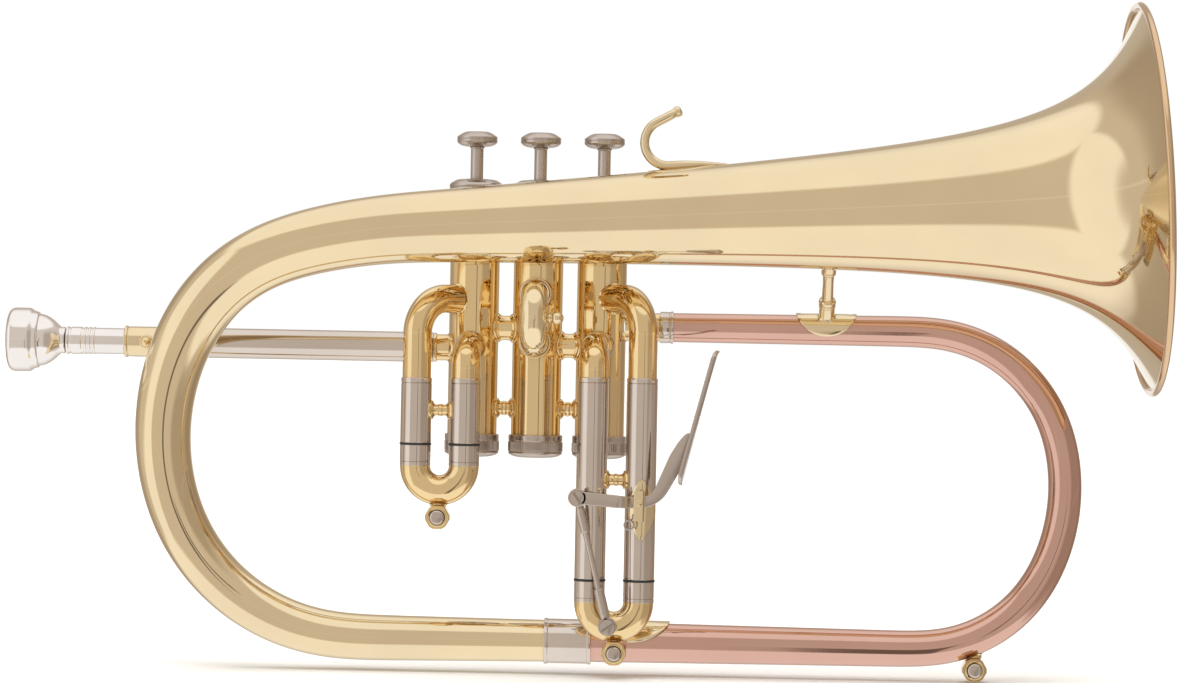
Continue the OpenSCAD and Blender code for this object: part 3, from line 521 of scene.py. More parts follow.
def rubber(name):
    material, tree, shader = nodes_of(name)
    tone = mixed(tree, noise(tree, 900, 3), (0.012, 0.012, 0.012), (0.03, 0.03, 0.03))
    blur = spread(tree, noise(tree, 400, 3), 0.4, 0.6)
    surface = bumped(tree, noise(tree, 2500, 3), 0.2, 0.0002)
    fill(tree, shader.inputs, {"Base Color": tone, "Roughness": blur, "Normal": surface})
    return material


# Dark colours of the painted shade in crevices: amber for the brasses, grey for nickel, silver and steel.
SHADE_AMBER = (0.30, 0.15, 0.04)
SHADE_GREY = (0.16, 0.12, 0.09)
PALE = metal("pale brass lacquer", (0.87, 0.72, 0.47), SHADE_AMBER, 0.035, 0.045, coat=0.35, shade_depth=0.35)
BRASS = metal("brass lacquer", (0.89, 0.68, 0.37), SHADE_AMBER, 0.03, 0.04, coat=0.35, shade_depth=0.6)
RED = metal("red brass lacquer", (0.71, 0.44, 0.36), (0.30, 0.09, 0.04), 0.035, 0.045, coat=0.35)
NICKEL = metal("polished nickel silver", (0.71, 0.63, 0.57), SHADE_GREY, 0.03, 0.05)
BRUSHED = metal("brushed nickel", (0.61, 0.535, 0.485), SHADE_GREY, 0.2, 0.08, streak=(420, 420, 40), grain=0.03)
lever_look = {"streak": (120, 500, 120), "grain": 0.03, "shade_depth": 0.3}
LEVER_GREY = metal("brushed lever nickel", (0.61, 0.54, 0.49), SHADE_GREY, 0.2, 0.06, **lever_look)
SILVER = metal("silver plate", (0.91, 0.87, 0.85), SHADE_GREY, 0.07, 0.1, shade_depth=0.1)
RIM_GOLD = metal("rim brass", (0.76, 0.54, 0.33), SHADE_AMBER, 0.06, 0.06, coat=0.35)
LINING = metal("bell lining", (0.86, 0.68, 0.42), SHADE_AMBER, 0.3, 0.08, shine=0.7, shade_depth=0.2)
STEEL = metal("spring steel", (0.55, 0.52, 0.50), SHADE_GREY, 0.2, 0.1, streak=(400, 400, 400), grain=0.05)
RUBBER = rubber("black rubber")
FINISH = {
    "lacquered_brass": BRASS,
    "pale_brass": PALE,
    "red_brass": RED,
    "brushed_nickel": BRUSHED,
    "nickel_silver": NICKEL,
    "black_rubber": RUBBER,
    "silver_plate": SILVER,
    "spring_wire": STEEL,
}


# ---- bell and bows ----


def bell_radius(s):
    """Outer radius at a length behind the rim."""
    return BELL_NECK - 0.037 * s + (RIM_R - BELL_NECK) * (32 / (32 + s)) ** 1.59


def bell_at(x):
    """Centre and radius of the bell above x."""
    behind = RIM[0] - x
    return vec(x, BELL_Y, RIM[2] - behind * tan(BELL_TILT)), bell_radius(behind / cos(BELL_TILT))


def bell_line():
    """Centreline, outer radius and length behind the rim of the bell and its bow."""
    lead = (RIM[0] - BOW_START_X) / cos(BELL_TILT)
    start = (BOW_START_X, RIM[2] - (RIM[0] - BOW_START_X) * tan(BELL_TILT))
    xz, s, bend, tail = bow_line(start, BELL_ARCS, lead, 12)
    t = np.clip(s / (bend + tail), 0, 1)
    drop = (BOTTOM_Z - xz[-1, 1]) * t
    y = BELL_Y + (BOTTOM_Y - BELL_Y) * ease(s / bend)
    r0 = bell_radius(lead)
    r = np.where(s < 0, bell_radius(np.maximum(s + lead, 0)), r0 + (8.15 - r0) * (1.42 * t - 0.42 * t * t))
    near = np.clip((s + 120) / 60, 0, 1) * np.clip((s[-1] - s) / 20, 0, 1)
    r = r + (blurred(r, 80) - r) * near
    return np.stack([xz[:, 0], y, xz[:, 1] + drop], 1), r, s + lead


def make_bell():
    line, r, s = bell_line()
    rim_marks = 0.8 + 118 * np.linspace(0, 1, 70) ** 2.0
    marks = np.concatenate([rim_marks, np.arange(120.4, s[-1], 1.6), [s[-1]]])
    centre = points_at(marks, s, line)
    outer = np.interp(marks, s, r)
    inner = outer - SHEET
    flare = marks < 200
    outer[flare] = bell_radius(marks[flare])
    inner[flare] = bell_radius(marks[flare] + 0.45) - SHEET
    axes = carried_frames(centre)
    n = 112
    shape = Shape()
    skin = circles(centre, axes, outer, n)
    lining = circles(centre, axes, inner, n)
    shape.loft(skin + lining[::-1], closed=True)
    first = len(skin) * n
    shape.tags[first:] = [2] * (len(shape.tags) - first)
    wire = 1.4
    bead = [(1.26 + wire * sin(a), RIM_R - wire + wire * cos(a)) for a in full_turn(24)]
    back = -vec(cos(BELL_TILT), 0, sin(BELL_TILT))
    shape.tag = 1
    shape.ring(RIM, back, bead, 160)
    add("bell", shape, "pale_brass", "bell_flare", "bell_bow", looks=[PALE, RIM_GOLD, LINING], sharp=60)


def make_red_bow():
    lead = RED_BEND[0] - RED_START_X
    xz, s, bend, _ = bow_line(RED_BEND, RED_ARCS, lead, 9)
    t = (s + lead) / (s[-1] + lead)
    r = 5.75 + 2.35 * (0.55 * t + 0.45 * t * t)
    line = np.stack([xz[:, 0], BOTTOM_Y * ease(s / bend), xz[:, 1]], 1)
    pick = np.unique(np.append(np.arange(0, len(s), 6), len(s) - 1))
    shape = Shape().swept(line[pick], r[pick], n=72, bore=r[pick] - SHEET)
    add("red_bow", shape, "red_brass", "red_brass_bow", sharp=60)


def make_ferrules():
    shape = Shape()
    length, r, bead_r, bead, bore = 18.4, 8.75, 9.03, 1.3, 8.2
    beaded = both_ways([(0, bore), (0, bead_r), (bead, bead_r), (bead + 0.25, r)], length)
    shape.ring(vec(5.3, BOTTOM_Y, BOTTOM_Z), X, beaded, 96, soft=0.3)
    grooved = [
        (0, 5.8), (0, 6.2), (3.4, 6.2), (3.6, 6.02), (3.8, 6.2), (4.2, 6.2), (4.3, 6.42), (5.2, 6.42),
        (5.2, 5.8),
    ]
    shape.ring(vec(48.4, 0, RED_TOP_Z), X, grooved, 72, soft=0.15)
    add("bow_ferrule_rings", shape, "nickel_silver", "bow_ferrules")


# ---- braces ----


def make_bell_brace():
    top, r_bell = bell_at(BRACE_X)
    low = vec(BRACE_X, 0, RED_TOP_Z)
    d = unit(low - top)
    span = norm(low - top)
    a, b = r_bell - 0.6, span - 6.4
    p = [
        (a, 2.9), (a + 0.4, 2.9), (a + 4.4, 2.9), (a + 4.6, 2.65), (a + 4.9, 2.9), (a + 5.6, 2.9),
        (a + 6.0, 2.3), (a + 9.5, 2.1), (b - 8.4, 2.25), (b - 8.0, 3.05), (b - 7.2, 3.4), (b - 6.4, 3.4),
        (b - 6.0, 3.1), (b - 5.6, 3.1), (b - 5.4, 3.3), (b - 4.9, 3.3), (b - 4.7, 3.1), (b, 3.1),
    ]
    shape = Shape().turned(top, d, p, 48, soft=0.3)
    shape.weld(low, -d, top, X, r_bell + 0.05, 2.9, 0.7)
    shape.weld(top, d, low, X, 6.75, 3.1, 0.9)
    add("bell_brace_post", shape, "pale_brass", "bell_brace")


def crescent_outline(half, depth, n=28):
    """Half moon: straight along the top, round below, as (along, down the side)."""
    cut = (half * half + depth * depth) / (2 * depth)
    angles = np.linspace(-1, 1, n) * asin(min(1, half / cut))
    return [(cut * sin(a), cut * cos(a) - (cut - depth)) for a in angles]


def make_crescents():
    shape = Shape()
    brace_foot = (BRACE_X, 0, RED_TOP_Z, 5.95, 12, 8.2)
    stay_foot = (39.5, BOTTOM_Y, BOTTOM_Z, 8.0, 15, 7.4)
    for x, y, z, r, half, depth in (brace_foot, stay_foot):
        along, drop = np.transpose(crescent_outline(half, depth))
        outline = list(zip(along, np.arccos(np.clip(1 - drop / r, -1, 1))))
        outline += [(a, -q) for a, q in outline[-2:0:-1]]

        def place(a, b, h):
            return vec(x + a, y - (r + 0.1 + h) * sin(b), z + (r + 0.1 + h) * cos(b))

        shape.patch(outline, place, 0.7, rings=14)
    add("crescent_feet", shape, "pale_brass", "brace_crescents")


def make_slide_stay():
    leg = vec(SLIDE_3[0] + HALF_GAP, SLIDE_3[1], 0)
    foot = vec(38.6, BOTTOM_Y - 0.6, BOTTOM_Z + 7)
    elbow = vec(leg[0] - 1.6, leg[1] + 11.5, -99)
    head = vec(leg[0] - 1, leg[1] + 5.6, -92)
    path = corner_path([foot, elbow, head], [5.0], 0.7)
    shape = Shape().swept(path, 2.2, n=32)
    up = unit(elbow - foot)
    shape.turned(foot, up, [(0, 2.9), (4.6, 2.9), (5.2, 2.3)], 40, soft=0.4)
    shape.weld(elbow, unit(head - elbow), leg, Z, SLEEVE_R, 2.2, 1.0)
    shape.weld(foot + up * 12, -up, vec(0, BOTTOM_Y, BOTTOM_Z), X, 8.8, 2.9, 1.0)
    add("slide_stay_rod", shape, "pale_brass", "slide_stay")


def make_finger_hook():
    x0, bend, turn, tip = 50.5, 8.9, 155, 8.6
    base, base_r = bell_at(x0)
    z0 = base[2] + base_r + 1.95
    flat = [(22.5, -0.55), (12, 0.0), (4, 0.0)]
    for a in np.radians(np.arange(270, 270 - turn - 1, -5)):
        flat.append((bend * cos(a), bend + bend * sin(a)))
    end = radians(270 - turn)
    flat.append((bend * cos(end) + tip * sin(end), bend + bend * sin(end) - tip * cos(end)))
    flat = even(flat, 0.8)
    c, s = cos(BELL_TILT), sin(BELL_TILT)
    path = np.array([(x0 + a * c - b * s, BELL_Y, z0 + a * s + b * c) for a, b in flat])
    ahead = np.gradient(path, axis=0)
    loops = []
    total = len(path)
    for i, (p, t) in enumerate(zip(path, ahead)):
        out = np.cross(Y, unit(t))
        grow = min(1, 0.35 + 2.2 * (i / total))
        end_in = max(0, 1 - (total - 1 - i) / 3.0)
        w, h = 2.8 * (1 - 0.3 * end_in), 1.8 * grow * (1 - 0.1 * end_in)
        loop = []
        for a in full_turn(40):
            across, over = (copysign(abs(v) ** 0.75, v) for v in (cos(a), sin(a)))
            loop.append(p + Y * w * across + out * h * over)
        loops.append(np.array(loop))
    shape = Shape().loft(loops)
    knob = [(-1.4, 1.2), (-1.0, 1.7), (-0.2, 2.1), (0.8, 2.15), (1.5, 1.85), (1.9, 1.1), (2.0, 0.02)]
    shape.turned(path[-1], unit(ahead[-1]), knob, 32)

    def place(a, b, h):
        axis, r = bell_at(x0 + a)
        r = r + 0.1 + h
        return axis + r * vec(0, -sin(b / r), cos(b / r) / c)

    start, length, wide = -8.0, 30.0, 7.6
    u = np.linspace(0, 1, 26)
    half = wide * np.sin(pi * u**0.8) ** 0.9
    outline = [(start + length * q, h) for q, h in zip(u, half)]
    outline += [(a, -h) for a, h in outline[-2:0:-1]]
    shape.patch(outline, place, 0.65, rings=8)
    add("finger_hook_strip", shape, "pale_brass", "finger_hook")


def make_bell_stays():
    shape = Shape()
    for x in (VALVE_X[0], VALVE_X[2]):
        centre, r = bell_at(x)
        casing = vec(x, 0, centre[2])
        p = [(CASING_R - 0.6, STAY_R), (CASING_R + 0.2, STAY_R), (-BELL_Y - r + 0.5, STAY_R)]
        shape.turned(casing, -Y, p, 48)
        shape.weld(centre, Y, casing, Z, CASING_R, STAY_R, 0.5)
        shape.weld(casing, -Y, centre, X, r, STAY_R, 0.5)
    add("bell_stay_posts", shape, "pale_brass", "bell_stays")


def collars(shape, a, b, wall_r, profile, soft, n):
    """The same collar against both of two upright tubes."""
    profile = rounded(profile, soft, closed=True)
    shape.collar(b, -X, a, Z, wall_r, profile, n)
    shape.collar(a, X, b, Z, wall_r, profile, n)


def spool(shape, a, b, wall_r, waist, flange, thick):
    """A turned brace from wall to wall, each flange following its wall."""
    span = b[0] - a[0]
    gap = span - 2 * wall_r
    mid = span / 2
    half = [(wall_r - 0.6, waist + 0.25), (wall_r + 0.3 * gap, waist + 0.1), (mid - 0.9, waist)]
    p = both_ways(half + [(mid - 0.55, waist + 0.35)], span)
    shape.turned(a, X, p, 48, soft=0.25)
    flat = [
        (waist - 0.5, -0.3), (flange, -0.12), (flange, 0.45 * thick), (flange - 0.3, thick),
        (waist + 0.75, 1.15 * thick), (waist + 0.3, 1.7 * thick), (waist - 0.2, 2.0 * thick),
    ]
    collars(shape, a, b, wall_r, flat, 0.2, 48)


def make_spools():
    shape = Shape()
    for i in (0, 1):
        spool(shape, vec(VALVE_X[i], 0, -35.6), vec(VALVE_X[i + 1], 0, -35.6), CASING_R, 2.6, 4.0, 0.7)
    for (x, y), z in ((SLIDE_1, -36.5), (SLIDE_3, -62.1)):
        spool(shape, vec(x - HALF_GAP, y, z), vec(x + HALF_GAP, y, z), SLEEVE_R, 2.1, 3.7, 0.75)
    add("turned_spools", shape, "lacquered_brass", "spool_braces")


# ---- valves ----


def make_knuckles():
    shape = Shape()
    for i, z in enumerate((-4, -10.6)):
        a, b = vec(VALVE_X[i], 0, z), vec(VALVE_X[i + 1], 0, z)
        span = b[0] - a[0]
        start = CASING_R - 0.5
        shape.ring(a, X, both_ways([(start, 4.5), (start, 4.85)], span), 64)
        flat = [(4.4, -0.4), (5.75, -0.1), (5.7, 0.5), (5.2, 0.75), (5.05, 1.15), (4.8, 1.5)]
        collars(shape, a, b, CASING_R, flat, 0.15, 64)
    add("valve_knuckles", shape, "lacquered_brass", "knuckles")


def make_stubs():
    x1, _, x3 = VALVE_X
    inlet = both_ways([(0, 4.6), (0, 5.2)], 6.55)
    shape = Shape().ring(vec(-41, 0, PIPE_Z), X, inlet, 64, soft=0.15)
    shape.weld(vec(-45, 0, PIPE_Z), X, x1 * X, Z, CASING_R, 5.2, 0.9)
    lip = [(0, 4.8), (0, 5.75), (1.2, 5.75), (1.5, 5.3), (1.5, 4.8)]
    shape.ring(vec(-40.9, 0, PIPE_Z), X, lip, 64, soft=0.2)
    start = CASING_R - 0.4
    outlet = [
        (start, TUBE_BORE), (start, 5.6), (23.0, 5.6), (23.25, 5.72), (26.05, 5.72), (26.05, TUBE_BORE),
    ]
    shape.ring(vec(x3, 0, RED_TOP_Z), X, outlet, 64)
    shape.weld(vec(60, 0, RED_TOP_Z), -X, x3 * X, Z, CASING_R, 5.6, 0.8)
    add("valve_stubs", shape, "lacquered_brass", "stub_tubes")


def knurled(shape, x, low, high, r):
    """A knurled band as its own ring."""
    bore, edge, teeth, tooth = 9.9, 0.15, 84, 0.22
    p = both_ways([(low, bore), (low, r - edge), (low + 0.3, r)], low + high)
    shape.turned(x * X, Z, p, closed=True, knurl=(low + 0.29, high - 0.29, teeth, tooth))


def make_caps():
    top, low = Shape(), Shape()
    p = [
        (44.6, 9.85), (44.6, 10.5), (45.6, 10.7), (45.8, 10.5), (50.4, 10.5), (50.6, 10.65),
        (51.1, 10.65), (51.3, 10.4), (51.6, 10.7), (52.2, 10.6), (52.9, 10.1), (53.6, 9.0), (54.1, 8.1),
        (54.35, 7.2), (54.35, 4.9), (54.6, 4.6), (54.6, 2.95), (51.8, 2.95), (51.8, 8.4), (50.1, 8.4),
        (50.1, 9.85),
    ]
    q = [
        (-45.9, 9.85), (-45.9, 10.5), (-46.2, 10.7), (-48.2, 10.7), (-48.45, 10.5), (-52.6, 10.5),
        (-52.8, 10.7), (-53.2, 10.7), (-53.7, 10.3), (-54.3, 9.2), (-54.7, 7.8), (-54.9, 6.5),
        (-54.9, 4.2), (-54.5, 4.0), (-54.5, 1.5), (-52.0, 1.5), (-52.0, 9.85),
    ]
    for x in VALVE_X:
        top.ring(x * X, Z, p, 96, soft=0.2)
        knurled(top, x, 45.9, 50.3, 10.57)
        low.ring(x * X, Z, q, 96, soft=0.2)
        knurled(low, x, -52.6, -48.5, 10.6)
    add("top_cap_rings", top, "brushed_nickel", "top_caps", sharp=30)
    add("bottom_cap_rings", low, "brushed_nickel", "bottom_caps", sharp=30)


def make_valve_tops():
    p = [
        (44, 1.95), (48, 1.95), (48, 5.5), (50.2, 5.5), (50.4, 5.2), (50.4, 2.5), (66.7, 2.5), (66.9, 2.9),
        (67.4, 2.9), (67.4, 1.5), (70.2, 1.5),
    ]
    button_z = 67.4
    q = [
        (0, 1.6), (0, 4.6), (0.3, 5.9), (0.8, 7.0), (1.4, 7.7), (1.9, 7.97), (2.7, 8.0), (2.8, 7.84),
        (3.0, 7.84), (3.1, 8.0), (3.7, 7.95), (4.1, 7.7), (4.4, 7.2), (4.75, 6.7), (5.3, 5.8),
        (5.7, 4.9), (5.85, 4.3), (5.75, 3.7), (5.5, 2.8), (5.35, 1.6), (5.3, 0.02),
    ]
    for i, x in enumerate(VALVE_X, 1):
        body = f"valve_{i}"
        stem = Shape().turned(x * X, Z, p, 48, soft=0.2)
        add(f"stem_rod_{i}", stem, "brushed_nickel", f"stem_{i}", body=body)
        cap = Shape().turned(vec(x, 0, button_z), Z, [(2.6, 0.02), (2.6, 1.6)] + q, 96, soft=0.15)
        add(f"button_disc_{i}", cap, "brushed_nickel", f"button_{i}", body=body)


# ---- slides ----


def port_path(vx, lx, ly, z_end, z_port, bend):
    """From a slide's sleeve up and over into a valve's casing, and the direction it goes in."""
    away = unit(vec(vx - lx, -ly, 0))
    reach = hypot(vx - lx, ly) - CASING_R + 0.5
    points = [vec(lx, ly, z_end - 0.6), vec(lx, ly, z_port), vec(lx, ly, z_port) + away * reach]
    return corner_path(points, [bend], 0.8), away


def make_ports(number, vx, centre, top, legs):
    shape = Shape()
    for side, z_port, bend in legs:
        lx, ly = centre[0] + side * HALF_GAP, centre[1]
        path, away = port_path(vx, lx, ly, top, z_port, bend)
        shape.swept(path, PORT_R, n=56, bore=TUBE_BORE)
        shape.weld(vec(lx, ly, z_port), away, vx * X, Z, CASING_R, PORT_R, 0.7)
    add(f"slide_{number}_port_tubes", shape, "lacquered_brass", f"slide_{number}_ports", sharp=50)


def sleeve_profile(low, high):
    """Slide sleeve with a fine scored line near its upper end."""
    return [
        (low, SLEEVE_BORE), (low, SLEEVE_R - 0.1), (low + 0.2, SLEEVE_R), (high - 2.2, SLEEVE_R),
        (high - 2.08, SLEEVE_R - 0.16), (high - 1.92, SLEEVE_R - 0.16), (high - 1.8, SLEEVE_R),
        (high - 0.2, SLEEVE_R), (high, SLEEVE_R - 0.12), (high, SLEEVE_BORE),
    ]


def make_slide(number, centre, top, mid, low, leg_top):
    body = f"slide_{number}"
    sleeves, legs, rings, crook = Shape(), Shape(), Shape(), Shape()
    ferrule = mid - 0.8
    x, y = centre
    p = [
        (leg_top, TUBE_BORE), (leg_top, LEG_R), (ferrule, LEG_R), (ferrule, SLEEVE_R - 0.1),
        (ferrule - 0.2, SLEEVE_R), (low + 1.75, SLEEVE_R), (low + 1.65, SLEEVE_R - 0.15),
        (low + 1.5, SLEEVE_R - 0.15), (low + 1.4, SLEEVE_R), (low + 0.1, SLEEVE_R),
        (low, SLEEVE_R - 0.1), (low, TUBE_BORE),
    ]
    band = [
        (mid - 0.9, LEG_R), (mid - 0.9, 6.05), (mid - 0.75, 6.22), (mid - 0.25, 6.22), (mid - 0.07, 6.05),
        (mid - 0.05, LEG_R),
    ]
    for s in (-1, 1):
        at = vec(x + s * HALF_GAP, y, 0)
        sleeves.ring(at, Z, sleeve_profile(mid, top), 72)
        legs.ring(at, Z, p, 72)
        rings.ring(at, Z, band, 64)
    turn = [vec(x + HALF_GAP * cos(a), y, low + HALF_GAP * sin(a)) for a in np.linspace(0, -pi, 60)]
    into_legs = 0.3 * Z
    path = [turn[0] + into_legs] + turn + [turn[-1] + into_legs]
    crook.swept(path, SLEEVE_R - 0.1, n=56, bore=TUBE_BORE)
    add(f"{body}_sleeve_tubes", sleeves, "nickel_silver", f"{body}_sleeves")
    add(f"{body}_leg_tubes", legs, "nickel_silver", f"{body}_legs", body=body)
    add(f"{body}_seal_rings", rings, "black_rubber", f"{body}_rings", body=body, sharp=60)
    add(f"{body}_crook_tube", crook, "lacquered_brass", f"{body}_crook", body=body, sharp=50)


def make_slide_2():
    half = 9.4
    sleeves, crook, knob = Shape(), Shape(), Shape()
    p = [
        (8.8, SLEEVE_BORE), (8.8, 6.0), (27.9, 6.0), (28.1, 6.25), (29.8, 6.25), (30, 6.1),
        (30, SLEEVE_BORE),
    ]
    for s in (-1, 1):
        at = vec(0, 0, s * half)
        sleeves.ring(at, -Y, p, 64, soft=0.12)
        sleeves.weld(at - 30 * Y, Y, vec(0, 0, 0), Z, CASING_R, 6.0, 0.6)
    arc = [vec(0, -36 - half * sin(a), half * cos(a)) for a in np.linspace(0, pi, 60)]
    upper = even([vec(0, -13, half), vec(0, -36, half)], 1.5).tolist()
    lower = even([vec(0, -36, -half), vec(0, -13, -half)], 1.5).tolist()
    path = upper + arc[1:-1] + lower
    crook.swept(path, LEG_R, n=64, bore=4.8)
    at = vec(0, -36 - half, 0)
    p = [
        (4.6, 1.3), (5.7, 1.3), (5.9, 1.75), (6.5, 1.75), (6.7, 1.2), (7.0, 1.2), (7.2, 1.7), (7.9, 2.3),
        (8.8, 2.5), (9.6, 2.45), (10.4, 2.1), (11.0, 1.5), (11.4, 0.8), (11.5, 0.02),
    ]
    knob.turned(at, X, p, 40)
    knob.weld(at + 20 * X, -X, at, Z, LEG_R, 1.3, 0.7)
    add("slide_2_sleeve_tubes", sleeves, "lacquered_brass", "slide_2_sleeves")
    add(
        "slide_2_crook_tube", crook, "lacquered_brass", "slide_2_crook", body="slide_2", looks=[PALE],
        sharp=50,
    )
    add("slide_2_pull_knob", knob, "pale_brass", "slide_2_knob", body="slide_2", sharp=50)


# ---- trigger ----


def screw_head(shape, at, r, rise, angle):
    """A slotted head facing -Y: a floor with two half discs standing on it."""
    shape.turned(at, -Y, [(-0.4, r), (rise * 0.15, r), (rise * 0.15, 0.02)], 48)
    c, s = cos(angle), sin(angle)
    slot = 0.42
    first = asin(slot / r)

    def place(a, b, y):
        return at + vec(a * c - b * s, -y, a * s + b * c)

    half_disc = [(r * cos(a), r * sin(a)) for a in np.linspace(first, pi - first, 24)]
    for side in (1, -1):
        outline = [(a * side, b * side) for a, b in half_disc]
        shape.plate(outline, place, rise * 0.05, rise, edge=0.18)


def make_stud():
    at = vec(STUD_X, SLIDE_3[1], STUD_Z)
    p = [(3.2, 3.2), (6.2, 3.2), (8.0, 3.0), (8.4, 2.8), (8.4, 1.6), (12.4, 1.6)]
    shape = Shape().turned(at, -Y, p, 48, soft=0.25)
    screw_head(shape, at - 12.4 * Y, 2.9, 1.2, radians(35))
    add("crook_stud_screw", shape, "brushed_nickel", "crook_stud", body="slide_3")


def make_trigger_foot():
    leg = vec(SLIDE_3[0] + HALF_GAP, SLIDE_3[1], 0)
    shape = Shape()
    half = [
        (0, 11.8), (1.3, 11.2), (2.6, 9.5), (4.6, 5.2), (5.7, 2.4), (5.9, 1.2), (5.9, -1.2), (5.6, -2.8),
        (4.0, -6.4), (2, -10), (1.0, -11.4),
    ]
    outline = half + [(0, -11.8)] + [(-a, b) for a, b in half[:0:-1]]

    def place(a, b, h):
        g = asin(np.clip((a + 0.6) / 7.2, -1, 1))
        r = SLEEVE_R + 0.05 + h
        return vec(leg[0] + r * sin(g), leg[1] - r * cos(g), PIVOT[2] - 3 + b)

    shape.patch(outline, place, 0.75, rings=9)
    x, y = PIVOT[0], SLIDE_3[1] - 5.4
    bar = vec(x - 0.8, y, PIVOT[2] + 4.1), vec(x - 0.8, LEVER_Y - 0.9, PIVOT[2] + 4.1)
    front = vec(x, LEVER_Y - 1.0, PIVOT[2] + 4.6), vec(x, LEVER_Y - 1.0, PIVOT[2] - 7.0)
    block = vec(x, y, PIVOT[2] + 0.2), vec(x, y - 3.8, PIVOT[2] + 0.2)
    for ends, step, wide, thick in ((bar, 0.5, 2.6, 1.0), (front, 0.5, 4.2, 1.2), (block, 0.6, 4.2, 8.6)):
        path = even(ends, step)
        shape.ribbon(path, [X] * len(path), wide, thick)
    pin = [(-0.25, 0.02), (-0.25, 1.25), (0, 1.4), (6.2, 1.4)]
    shape.turned(vec(x, LEVER_Y - 1.6, PIVOT[2]), Y, pin, 32, soft=0.1)
    add("trigger_foot_plate", shape, "pale_brass", "trigger_foot")


def make_lever():
    eye = vec(EYE_X, LEVER_Y + 1.0, EYE_Z)
    hinge = PIVOT + (LEVER_Y + 2.9) * Y
    points = [eye, vec(34.2, LEVER_Y + 1.0, -70.05), hinge - 3.7 * X, hinge]
    path = corner_path(points, [3.0, 3.0], 0.6).tolist()
    bend, angle = 9.5, radians(64)
    for a in np.linspace(0.08, angle, 16):
        path.append(hinge + vec(bend * sin(a), 0, bend * (1 - cos(a))))
    end = np.array(path[-1])
    along = vec(cos(angle), 0, sin(angle))
    path += [end + along * d for d in np.arange(1.0, 24.4, 1.0)]
    path = np.array(path)
    flat = np.gradient(path, axis=0)
    flat[:, 1] = 0
    across = [unit(np.cross(unit(f), Y)) for f in flat]
    s = lengths(path)
    marks = [0, 2, 15, 22, 30, 38, 48, 54, 57.5, s[-1]]
    heights = np.interp(s, marks, [4.2, 4.9, 4.9, 4.3, 4.3, 5.4, 6.4, 5.2, 3.4, 1.6])
    shape = Shape().ribbon(path, across, heights, 2.0)
    disc = [(0, 0.02), (0, 3.3), (0.3, 3.6), (1.7, 3.6), (2.0, 3.3), (2.0, 0.02)]
    shape.turned(vec(eye[0], LEVER_Y, eye[2]), Y, disc, 56)
    foot = vec(bend * sin(angle) + 6.1, 0, bend * (1 - cos(angle)) + 2.2) + PIVOT
    lean = radians(14.6)
    up, out = vec(sin(lean), 0, cos(lean)), vec(cos(lean), 0, -sin(lean))
    y0, wide, tall = LEVER_Y - 5.2, 12.0, 53.5
    outline = soft_box(wide, tall, 4.2, step=10) + vec(wide / 2, tall / 2)

    def place(a, b, t):
        bow = 1.4 * ((a - wide / 2) / (wide / 2)) ** 2
        return foot + (y0 + a) * Y + up * b + out * (t - bow + 0.4)

    shape.plate(outline, place, 0.1, 1.5, edge=0.35)
    add("trigger_lever_strip", shape, "brushed_nickel", "trigger_lever", body="lever", looks=[LEVER_GREY])
    screw = Shape()
    screw_head(screw, vec(eye[0], LEVER_Y - 0.1, eye[2]), 2.6, 1.2, radians(-55))
    p = [(1.9, 1.6), (5.4, 1.6), (5.4, 2.4), (6.4, 2.4), (6.4, 0.02)]
    screw.turned(vec(eye[0], LEVER_Y, eye[2]), Y, p, 32, soft=0.15)
    add("trigger_screw", screw, "brushed_nickel", "lever_screw", body="lever")


def make_rod():
    y = LEVER_Y + 3.6
    a, b = vec(EYE_X, y, EYE_Z), vec(STUD_X, y, STUD_Z)
    d = unit(b - a)
    length = norm(b - a)
    shape = Shape()
    for at, r, hole in ((a, 3.4, 1.7), (b, 3.6, 2.35)):
        shape.ring(at - 1.3 * Y, Y, both_ways([(0, hole), (0, r)], 2.6), 56, soft=0.3)
    p = [
        (2.4, 1.3), (3.6, 1.5), (5.5, 1.95), (13.4, 1.75), (13.9, 1.5), (14.0, 1.15), (36.0, 1.15),
        (36.1, 1.7), (36.6, 1.95), (length - 5.2, 2.0), (length - 3.4, 1.7), (length - 2.6, 1.2),
    ]
    shape.turned(a, d, p, 36)
    add("trigger_rod_link", shape, "brushed_nickel", "trigger_rod", body="rod")


def make_trigger_spring():
    c = vec(37.9, SLIDE_3[1] - 9.9, -79)
    path = []
    for a in np.linspace(0, 5 * pi / 2 + 2 * pi, 80):
        path.append(c + vec(1.8 * cos(a), 0.5 - 0.11 * a, 1.8 * sin(a)))
    path.append(c + vec(1.2, -0.45, 2.2))
    path.append(vec(PIVOT[0] - 2.3, c[1] - 0.45, PIVOT[2] - 4.4))
    shape = Shape().swept(even(path, 0.25), 0.36, n=12)
    add("trigger_wire_spring", shape, "spring_wire", "trigger_spring", sharp=60)


# ---- water keys ----


def hex_loop(flats, soft, n=72):
    """Rounded hexagon with corners to the left and right, one point per angle."""
    out = []
    for a in full_turn(n):
        local = (a + pi / 6) % (pi / 3) - pi / 6
        side = flats / 2 / cos(pi / 6 - abs(local))
        limit = flats / 2 / cos(pi / 6) - soft
        out.append((a, min(side, limit / max(cos(local) ** 0.35, 1e-3))))
    return out


